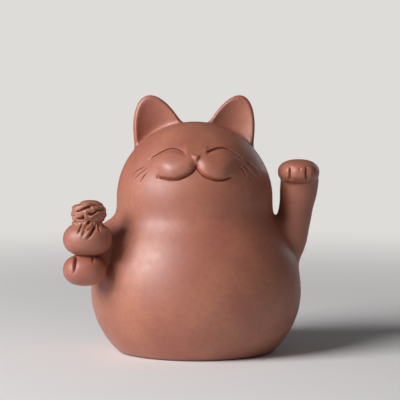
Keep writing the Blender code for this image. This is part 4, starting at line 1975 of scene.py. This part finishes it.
@dataclass
class Purse:
    """The tied purse: a pleated round, a cord at its neck and a frill of folds above.

    Lines on the round are measured from its middle, across and up, and those on the frill
    from the middle of its foot. A crease has a depth and half a width, a fold has its radii
    at the top and the bottom, and a side crease has its turn from the front, its lean, its
    lower end and its depth. The cord and the frill's layers are Ring knots.
    """

    paw: Lump
    half: Vec3 = (7.4, 7.3, 5.2)
    fullness: float = 2.2
    pressed: float = 0.8
    inward: float = 0.95
    neck_height: float = 5.9
    neck_radius: float = 4.1
    neck_low: float = 2.6
    neck_melt: float = 1.6
    fold_melt: float = 0.22
    paw_gap: float = 0.02
    paw_rim: float = 0.3
    tie_height: float = 4.85
    frill_shift: float = 0.35
    frill_height: float = 5.65
    mass_up: float = 2.2
    mass_half: Vec3 = (5.1, 4.85, 2.9)
    mass_fullness: float = 2.8
    crown_at: Vec3 = (0.4, 0.2, 4.7)
    crown_half: Vec3 = (3.2, 3.05, 1.35)
    crown_fullness: float = 2.3
    layer_melt: float = 0.6
    hull_up: float = 2.4
    hull_half: Vec3 = (5.1, 4.9, 3.9)
    hull_fullness: float = 2.4
    cell: float = 0.24
    frill_cell: float = 0.15
    crease_marked: float = 0.03
    room_half: float = 8.5
    room_heights: Vec2 = (6.5, 13.0)
    crease_tapers: Vec2 = (0.12, 0.45)
    side_top: float = 5.2
    side_low: float = 5.0
    side_bend: Vec2 = (0.4, 0.5)
    side_half_width: float = 0.3
    ridge_beside: float = 0.85
    ridge_share: float = 0.3
    ridge_half_width: float = 0.5
    roll_sunk: Vec2 = (0.35, 0.75)
    roll_curve: float = 1.6
    creases: tuple[tuple[Line, float, float], ...] = (
        (((-1.4, 5.1), (-1.85, 3.95), (-2.2, 3.0), (-2.7, 1.8)), 0.8, 0.24),
        (((1.3, 5.9), (0.7, 5.3), (0.1, 4.6)), 0.9, 0.3),
        (((2.05, 5.1), (1.65, 4.1), (0.95, 3.4), (0.05, 3.2)), 0.7, 0.2),
        (((2.75, 4.6), (2.0, 2.9), (1.1, 1.5), (0.1, 0.2)), 0.9, 0.36),
        (((-0.4, 3.1), (-0.8, 2.2), (-1.25, 1.1)), 0.35, 0.22),
        (((3.2, 4.9), (3.6, 3.6), (4.4, 2.1)), 0.5, 0.26),
        (((4.0, 4.7), (4.9, 4.0), (5.9, 3.0)), 0.45, 0.3),
    )
    folds: tuple[tuple[Line, Vec2], ...] = (
        (((0.1, 5.9), (-0.6, 4.8), (-1.15, 3.5), (-1.6, 2.1), (-1.9, 0.6)), (0.68, 0.75)),
        (((1.6, 5.6), (1.3, 4.7), (0.65, 3.95), (-0.1, 3.75)), (0.4, 0.32)),
        (((2.4, 5.6), (1.6, 3.6), (0.6, 2.25), (-0.3, 1.05), (-0.8, 0.2)), (0.55, 0.6)),
        (((2.8, 5.4), (3.1, 3.5), (3.7, 1.9)), (0.42, 0.35)),
        (((3.5, 5.3), (4.2, 4.1), (5.0, 3.0)), (0.45, 0.4)),
    )
    side_creases: tuple[Vec4, ...] = (
        (-165, 0.3, 1.9, 0.5), (-140, -0.4, 2.6, 0.4), (-118, 0.2, 1.6, 0.55), (-92, 0.5, 2.9, 0.35),
        (-68, 0.3, 3.3, 0.3), (98, -0.3, 1.6, 0.3), (117, -0.3, 2.7, 0.4), (143, 0.4, 1.8, 0.5),
        (170, -0.2, 2.9, 0.4),
    )
    cord: tuple[Vec4, ...] = (
        (-150, 4.2, 0.0, 0.55), (-95, 4.25, -0.05, 0.55), (-65, 4.25, -0.1, 0.55),
        (-40, 4.1, -0.25, 0.5), (-20, 3.5, -0.4, 0.45), (25, 3.4, -0.2, 0.45), (60, 3.8, -0.1, 0.5),
        (100, 4.05, 0.0, 0.5), (150, 4.05, -0.1, 0.5),
    )
    top_layer: tuple[Vec4, ...] = (
        (-150, 3.8, 4.0, 0.85), (-110, 4.0, 3.65, 0.95), (-85, 4.15, 3.5, 1.0), (-60, 4.25, 3.6, 0.95),
        (-41, 4.3, 3.85, 0.86), (-30, 4.3, 4.02, 0.8), (-20, 4.2, 4.28, 0.76), (-12, 4.1, 4.5, 0.7),
        (2, 3.95, 4.8, 0.6), (12, 3.7, 5.0, 0.45), (25, 3.4, 4.85, 0.5), (50, 3.4, 4.65, 0.65),
        (80, 3.5, 4.4, 0.75), (120, 3.6, 4.4, 0.8), (165, 3.8, 4.2, 0.85),
    )
    middle_layer: tuple[Vec4, ...] = (
        (-150, 4.4, 2.4, 0.8), (-115, 4.45, 2.0, 0.85), (-85, 4.45, 1.85, 0.9), (-60, 4.5, 1.95, 0.88),
        (-41, 4.5, 2.3, 0.72), (-30, 4.5, 2.5, 0.68), (-20, 4.45, 2.75, 0.68), (-12, 4.45, 3.0, 0.7),
        (2, 4.4, 3.35, 0.74), (12, 4.3, 3.35, 0.85), (20, 4.25, 3.3, 0.85), (29, 4.25, 3.6, 0.8),
        (36, 4.35, 3.85, 0.65), (53, 4.35, 3.8, 0.66), (75, 4.4, 3.3, 0.8), (100, 4.4, 3.1, 0.85),
        (145, 4.35, 2.9, 0.8), (180, 4.35, 2.6, 0.8),
    )
    hem: tuple[Vec4, ...] = (
        (-180, 3.8, 1.6, 0.3), (-60, 3.8, 1.6, 0.3), (-12, 4.2, 1.5, 0.3), (2, 4.75, 1.5, 0.32),
        (16, 4.9, 1.45, 0.34), (27, 4.95, 2.1, 0.34), (40, 4.95, 2.75, 0.34), (56, 4.85, 2.6, 0.34),
        (80, 4.6, 2.0, 0.35), (115, 3.9, 1.6, 0.3),
    )
    low_layer: tuple[Vec4, ...] = (
        (-150, 4.3, 1.1, 0.7), (-115, 3.9, 0.9, 0.5), (-85, 3.8, 0.9, 0.4), (-50, 3.8, 1.0, 0.4),
        (0, 3.8, 1.2, 0.4), (40, 4.1, 1.3, 0.8), (75, 4.4, 1.5, 1.0), (110, 4.4, 1.5, 0.9),
        (145, 4.4, 1.2, 0.8), (180, 4.4, 1.3, 0.75),
    )
    foot_layer: tuple[Vec4, ...] = (
        (-150, 4.3, 0.3, 0.55), (-85, 4.45, 0.35, 0.52), (-55, 4.45, 0.35, 0.52), (-30, 4.45, 0.3, 0.5),
        (-14, 4.4, 0.35, 0.46), (-5, 4.2, 0.7, 0.4), (8, 4.0, 0.6, 0.4), (30, 3.9, 0.3, 0.4),
        (60, 4.1, 0.1, 0.45), (100, 4.2, 0.2, 0.55), (150, 4.3, 0.3, 0.6),
    )
    upper_gap: Line = (
        (-3.43, 2.88), (-2.83, 3.05), (-1.94, 3.32), (-1.05, 3.77), (0.14, 4.21), (1.03, 4.48),
    )
    middle_gap: Line = (
        (0.1, 2.6), (0.73, 2.19), (1.62, 2.2), (2.36, 2.68), (2.96, 3.2), (4.0, 3.28), (5.0, 3.1),
    )
    lower_gap: Line = ((-3.3, 0.75), (-2.2, 0.72), (-1.05, 0.8))
    frill_strokes: tuple[tuple[Line, Stroke], ...] = (
        (upper_gap, Stroke(1.1, 0.22, (0.15, 0.04))),
        (((-4.6, 2.78), (-4.1, 2.8), (-3.4, 2.86)), Stroke(0.35, 0.14, (0.5, 0.1))),
        (((-4.35, 1.8), (-4.2, 1.4), (-3.9, 1.05)), Stroke(0.7, 0.28, (0.3, 0.3))),
        (middle_gap, Stroke(1.2, 0.28, (0.15, 0.25))),
        (lower_gap, Stroke(1.15, 0.3, (0.3, 0.05))),
        (((-1.25, 1.9), (-1.3, 1.35), (-1.25, 0.8)), Stroke(0.75, 0.3, (0.3, 0.05))),
        (((-0.5, 3.3), (-0.5, 2.0), (-0.35, 0.8)), Stroke(-0.35, 0.42, (0.25, 0.2))),
        (
            ((0.3, 1.35), (1.03, 1.33), (1.77, 1.72), (2.36, 2.15), (2.96, 2.6), (3.7, 2.75), (4.6, 2.6)),
            Stroke(-0.45, 0.2, (0.2, 0.35)),
        ),
        (((0.9, 0.5), (2.2, 0.95), (3.3, 1.55), (4.4, 1.5)), Stroke(0.5, 0.75, (0.25, 0.35))),
        (((1.6, 5.2), (2.6, 4.7), (3.4, 4.5), (4.1, 4.3)), Stroke(0.65, 0.22, (0.3, 0.3))),
        (((1.1, 4.42), (1.47, 3.92), (2.2, 3.4)), Stroke(-0.35, 0.22, (0.15, 0.3))),
        (((-2.1, 5.15), (-1.05, 5.1), (0.1, 5.3)), Stroke(0.25, 0.16, (0.3, 0.3))),
        (((-0.2, 5.75), (0.5, 5.6), (1.3, 5.8)), Stroke(0.2, 0.14, (0.3, 0.3))),
    )
    frill_dent_at: Vec3 = (-1.75, -4.35, 1.05)
    frill_dent: Vec2 = (0.5, 0.5)
    back_turns: Vec2 = (118.0, 236.0)
    back_depth: float = 0.7
    back_tapers: Vec2 = (0.3, 0.3)
    lower_gap_turned: float = -6.0

    def __post_init__(self) -> None:
        """Places the round on the paw and lays the creases and folds on it."""
        x, y, z = self.paw.middle
        height = z + self.paw.half[2] + self.half[2] - self.pressed
        self.middle = np.array([x + self.inward, y, height])
        self.marks = [self.crease(line, depth, half_width) for line, depth, half_width in self.creases]
        for turn, lean, low, depth in self.side_creases:
            bend = (self.side_bend[0] * lean, self.side_bend[1] * (self.side_low + low))
            line = ((0.0, self.side_top), bend, (lean, low))
            self.marks.append(self.crease(line, depth, self.side_half_width, turn))
            beside = tuple((across + self.ridge_beside, up) for across, up in line)
            ridge = -self.ridge_share * depth
            self.marks.append(self.crease(beside, ridge, self.ridge_half_width, turn))
        self.rolls = [self.roll(line, radii) for line, radii in self.folds]

    def laid_on_round(self, line: Line, count: int = 7) -> Laid:
        """Lays a line on the front of the round."""
        moved = [(self.middle[0] + across, self.middle[2] + up) for across, up in line]
        return laid(self.round, moved, self.middle[1] - self.half[1] - IN_FRONT, count)

    def crease(self, line: Line, depth: float, half_width: float, turn: float = 0.0) -> ToolLine:
        """A crease in the round, or a ridge, at a turn from the front in degrees towards +X."""
        path, outward = turned(*self.laid_on_round(line), self.middle, turn)
        return ToolLine(path, outward, depth, half_width, self.crease_tapers)

    def roll(self, line: Line, radii: Vec2, count: int = 8) -> Coil:
        """A gathered fold: a soft roll of clay, sinking into the round towards its lower end.

        Args:
            line: Places as (across, up), from the top down.
            radii: Its radius at the top and at the bottom.
            count: How many places to lay down.

        Returns:
            The roll.
        """
        places, ways = self.laid_on_round(line, count)
        thick = np.linspace(*radii, count)
        least, more = self.roll_sunk
        sunk = thick * (least + more * np.linspace(0, 1, count) ** self.roll_curve)
        rows = np.column_stack([np.array(places) - sunk[:, None] * unit(np.array(ways)), thick])
        return Coil(tuple(map(tuple, rows)), steps=14, margin=3.0)

    def round(self, points: Points) -> Values:
        """Distances to the plain round with its drawn-in neck.

        Args:
            points: Where to ask.

        Returns:
            Distances.
        """
        local = points - self.middle
        body = Lump((0.0, 0.0, 0.0), self.half, self.fullness).exact(local)
        beside = np.hypot(local[:, 0], local[:, 1]) - self.neck_radius
        above = np.abs(local[:, 2] - self.neck_low) - self.neck_height + self.neck_low
        return melt(body, np.maximum(beside, above), self.neck_melt)

    def ball(self, points: Points) -> Values:
        """Distances to the round with its folds, without what the paw presses away.

        Args:
            points: Where to ask.

        Returns:
            Distances.
        """
        body = self.round(points)
        for roll in self.rolls:
            body = melt(body, roll.distance(points), self.fold_melt)
        return press(body, self.paw.distance(points) - self.paw_gap, self.paw_rim)

    def ball_detail(self, points: Points) -> np.ndarray:
        """Says which places on the round lie in a crease."""
        return sum(np.abs(mark.removed(points)) for mark in self.marks) > self.crease_marked

    def tie(self, points: Points) -> Values:
        """Distances to the cord, which sinks under the folds at the front."""
        middle = self.middle + (0.0, 0.0, self.tie_height)
        return Ring(tuple(middle), self.cord).distance(points)

    @property
    def frill_foot(self) -> np.ndarray:
        """Middle of the frill's foot."""
        return self.middle + (self.frill_shift, 0.0, self.frill_height)

    def frill(self, points: Points) -> Values:
        """Distances to the frill before it is creased: wavy layers pressed into one soft mass.

        Args:
            points: Where to ask.

        Returns:
            Distances.
        """
        foot = self.frill_foot
        mass_middle = tuple(foot + (0.0, 0.0, self.mass_up))
        body = Lump(mass_middle, self.mass_half, self.mass_fullness).exact(points)
        for knots in (self.top_layer, self.middle_layer, self.hem, self.low_layer, self.foot_layer):
            body = melt(body, Ring(tuple(foot), knots).distance(points), self.layer_melt)
        crown = Lump(tuple(foot + self.crown_at), self.crown_half, self.crown_fullness)
        return melt(body, crown.exact(points), self.layer_melt)

    def frill_crease(self, line: Line, stroke: Stroke, turn: float = 0.0) -> ToolLine:
        """A crease in the frill, laid on its smooth hull, at a turn from the front in degrees.

        Args:
            line: Places as (across, up).
            stroke: How it is drawn.
            turn: Where it lies round the frill.

        Returns:
            The mark.
        """
        foot = self.frill_foot
        hull_middle = tuple(foot + (0.0, 0.0, self.hull_up))
        hull = Lump(hull_middle, self.hull_half, self.hull_fullness, margin=20)
        moved = [(foot[0] + across, foot[2] + up) for across, up in line]
        return stroke.along(*turned(*laid(hull.distance, moved, foot[1] - 8), foot, turn))

    def frill_marks(self) -> list[Mark]:
        """The frill's creases, and again its three gaps at the back, at two turns.

        Returns:
            The marks.
        """
        marks: list[Mark] = [self.frill_crease(line, stroke) for line, stroke in self.frill_strokes]
        marks.append(Dent(tuple(self.frill_foot + self.frill_dent_at), *self.frill_dent))
        gaps = (
            (self.upper_gap, 0.24, 0.0),
            (self.middle_gap, 0.26, 0.0),
            (self.lower_gap, 0.3, self.lower_gap_turned),
        )
        for turn in self.back_turns:
            for line, half_width, shift in gaps:
                stroke = Stroke(self.back_depth, half_width, self.back_tapers)
                marks.append(self.frill_crease(line, stroke, turn + shift))
        return marks

    def build(self) -> None:
        """Builds the purse's three pieces."""
        clay = PURSE.build()
        drop, rise = self.room_heights
        low = tuple(self.middle - (self.room_half, self.room_half, drop))
        high = tuple(self.middle + (self.room_half, self.room_half, rise))
        skins = (
            (Piece.PURSE_BALL, Skin.wrapped(self.ball, low, high, self.cell, self.marks, self.ball_detail)),
            (Piece.PURSE_TIE, Skin.wrapped(self.tie, low, high, self.cell)),
            (Piece.PURSE_RUFFLE, Skin.wrapped(self.frill, low, high, self.frill_cell, self.frill_marks())),
        )
        for piece, skin in skins:
            sheet = Sheet.cut_from(skin, np.ones(len(skin.faces), bool))
            settle_on_frame(sheet.to_object("fired_" + piece.node), piece, clay)


# The studio: table, lights and camera


@dataclass(frozen=True)
class Lamp:
    """A square soft light: its place and side in metres, its power in watts and its colour."""

    name: str
    place: Vec3
    side: float
    watts: float
    colour: str

    def build(self, target: Vec3) -> None:
        """Hangs the light and aims it.

        Args:
            target: Where it points, in metres.
        """
        lamp = bpy.data.lights.new(self.name, "AREA")
        lamp.size = self.side
        lamp.energy = self.watts
        lamp.color = linear(self.colour)[:3]
        item = bpy.data.objects.new(self.name, lamp)
        item.location = self.place
        aim = Vector(target) - Vector(self.place)
        item.rotation_euler = aim.to_track_quat("-Z", "Y").to_euler()
        bpy.context.scene.collection.objects.link(item)


@dataclass
class Studio:
    """A pale table in a pale room, plain soft lights and the photograph's point of view.

    The eye, its target and the sensor are in millimetres, and the rest is in metres. The
    key stands at the camera's left, with a weak fill and a soft light from behind.
    """

    eye: Vec3 = (1.25, -500.0, 78.0)
    target: Vec3 = (1.25, 0.0, 47.2)
    sensor: float = 36.0
    table: str = "#E6E3DF"
    room: str = "#DEDCD9"
    sky: str = "#E8EAEE"
    floor_radius: float = 5.0
    floor_roughness: float = 0.85
    fade_from: float = 0.08
    fade_to: float = 0.5
    ambient: float = 0.09
    lit_place: Vec3 = (0.0, 0.0, 0.04)
    lamps: tuple[Lamp, ...] = (
        Lamp("key", (-0.6, -0.42, 0.44), 0.5, 10.5, "#FBFBFF"),
        Lamp("fill", (0.6, -0.7, 0.3), 0.8, 0.3, "#F6F8FF"),
        Lamp("rim", (0.4, 0.6, 0.24), 0.3, 0.35, "#FFFFFF"),
    )

    def build(self) -> None:
        """Builds the floor, the lights and the camera."""
        self.build_floor()
        for lamp in self.lamps:
            lamp.build(self.lit_place)
        self.build_room()
        self.build_camera()

    def build_floor(self) -> None:
        """Lays a wide level sheet under the cat."""
        body = bmesh.new()
        bmesh.ops.create_circle(body, cap_ends=True, segments=96, radius=self.floor_radius)
        mesh = bpy.data.meshes.new("table_sheet")
        body.to_mesh(mesh)
        body.free()
        mesh.materials.append(self.paper())
        floor = bpy.data.objects.new("table_sheet", mesh)
        bpy.context.scene.collection.objects.link(floor)

    def paper(self) -> bpy.types.Material:
        """Matte uncoated paper, which takes a soft shadow and has no gleam.

        Far from the cat it fades into the room's colour, for the camera's rays alone.

        Returns:
            The material.
        """
        paper = bpy.data.materials.new("matte_paper_sheet")
        paper.use_nodes = True
        tree = paper.node_tree
        tree.nodes.clear()
        matte = {"Base Color": linear(self.table), "Roughness": self.floor_roughness}
        sheet = add_node(tree, "ShaderNodeBsdfPrincipled", {}, matte)
        far = add_node(tree, "ShaderNodeEmission", {}, {"Color": linear(self.room), "Strength": 1.0})
        where = add_node(tree, "ShaderNodeTexCoord").outputs["Object"]
        length = add_node(tree, "ShaderNodeVectorMath", {"operation": "LENGTH"}, {}, {0: where})
        span = {"From Min": self.fade_from, "From Max": self.fade_to}
        links = {"Value": length.outputs["Value"]}
        fade = add_node(tree, "ShaderNodeMapRange", {"interpolation_type": "SMOOTHSTEP"}, span, links)
        seen = add_node(tree, "ShaderNodeLightPath").outputs["Is Camera Ray"]
        both = {0: fade.outputs[0], 1: seen}
        share = add_node(tree, "ShaderNodeMath", {"operation": "MULTIPLY"}, {}, both)
        links = {0: share.outputs[0], 1: sheet.outputs[0], 2: far.outputs[0]}
        mixed = add_node(tree, "ShaderNodeMixShader", {}, {}, links)
        add_node(tree, "ShaderNodeOutputMaterial", {}, {}, {"Surface": mixed.outputs[0]})
        return paper

    def build_room(self) -> None:
        """Lights the room faintly from all round, and shows the camera its plain colour."""
        world = bpy.data.worlds.new("studio")
        world.use_nodes = True
        tree = world.node_tree
        tree.nodes.clear()
        faint = {"Color": linear(self.sky), "Strength": self.ambient}
        light = add_node(tree, "ShaderNodeBackground", {}, faint)
        plain = {"Color": linear(self.room), "Strength": 1.0}
        backdrop = add_node(tree, "ShaderNodeBackground", {}, plain)
        seen = add_node(tree, "ShaderNodeLightPath").outputs["Is Camera Ray"]
        links = {0: seen, 1: light.outputs[0], 2: backdrop.outputs[0]}
        mixed = add_node(tree, "ShaderNodeMixShader", {}, {}, links)
        add_node(tree, "ShaderNodeOutputWorld", {}, {}, {"Surface": mixed.outputs[0]})
        bpy.context.scene.world = world

    def build_camera(self) -> None:
        """Sets up the camera at the photograph's angle."""
        eye, target = Vector(self.eye) * MM, Vector(self.target) * MM
        camera = bpy.data.cameras.new("view")
        camera.sensor_width = self.sensor
        camera.lens = self.sensor * (target - eye).length / (IMAGE_SIDE * MM_PER_PIXEL * MM)
        item = bpy.data.objects.new("view", camera)
        item.location = eye
        item.rotation_euler = (target - eye).to_track_quat("-Z", "Y").to_euler()
        bpy.context.scene.collection.objects.link(item)
        bpy.context.scene.camera = item
        bpy.context.scene.view_settings.view_transform = "Standard"


def main() -> None:
    """Builds the cat, its purse and the studio."""
    logging.basicConfig(level=logging.INFO, format="%(name)s %(message)s")
    figure = Figure()
    Cat(figure).build()
    Purse(figure.holding_paw).build()
    Studio().build()


if __name__ == "__main__":
    main()
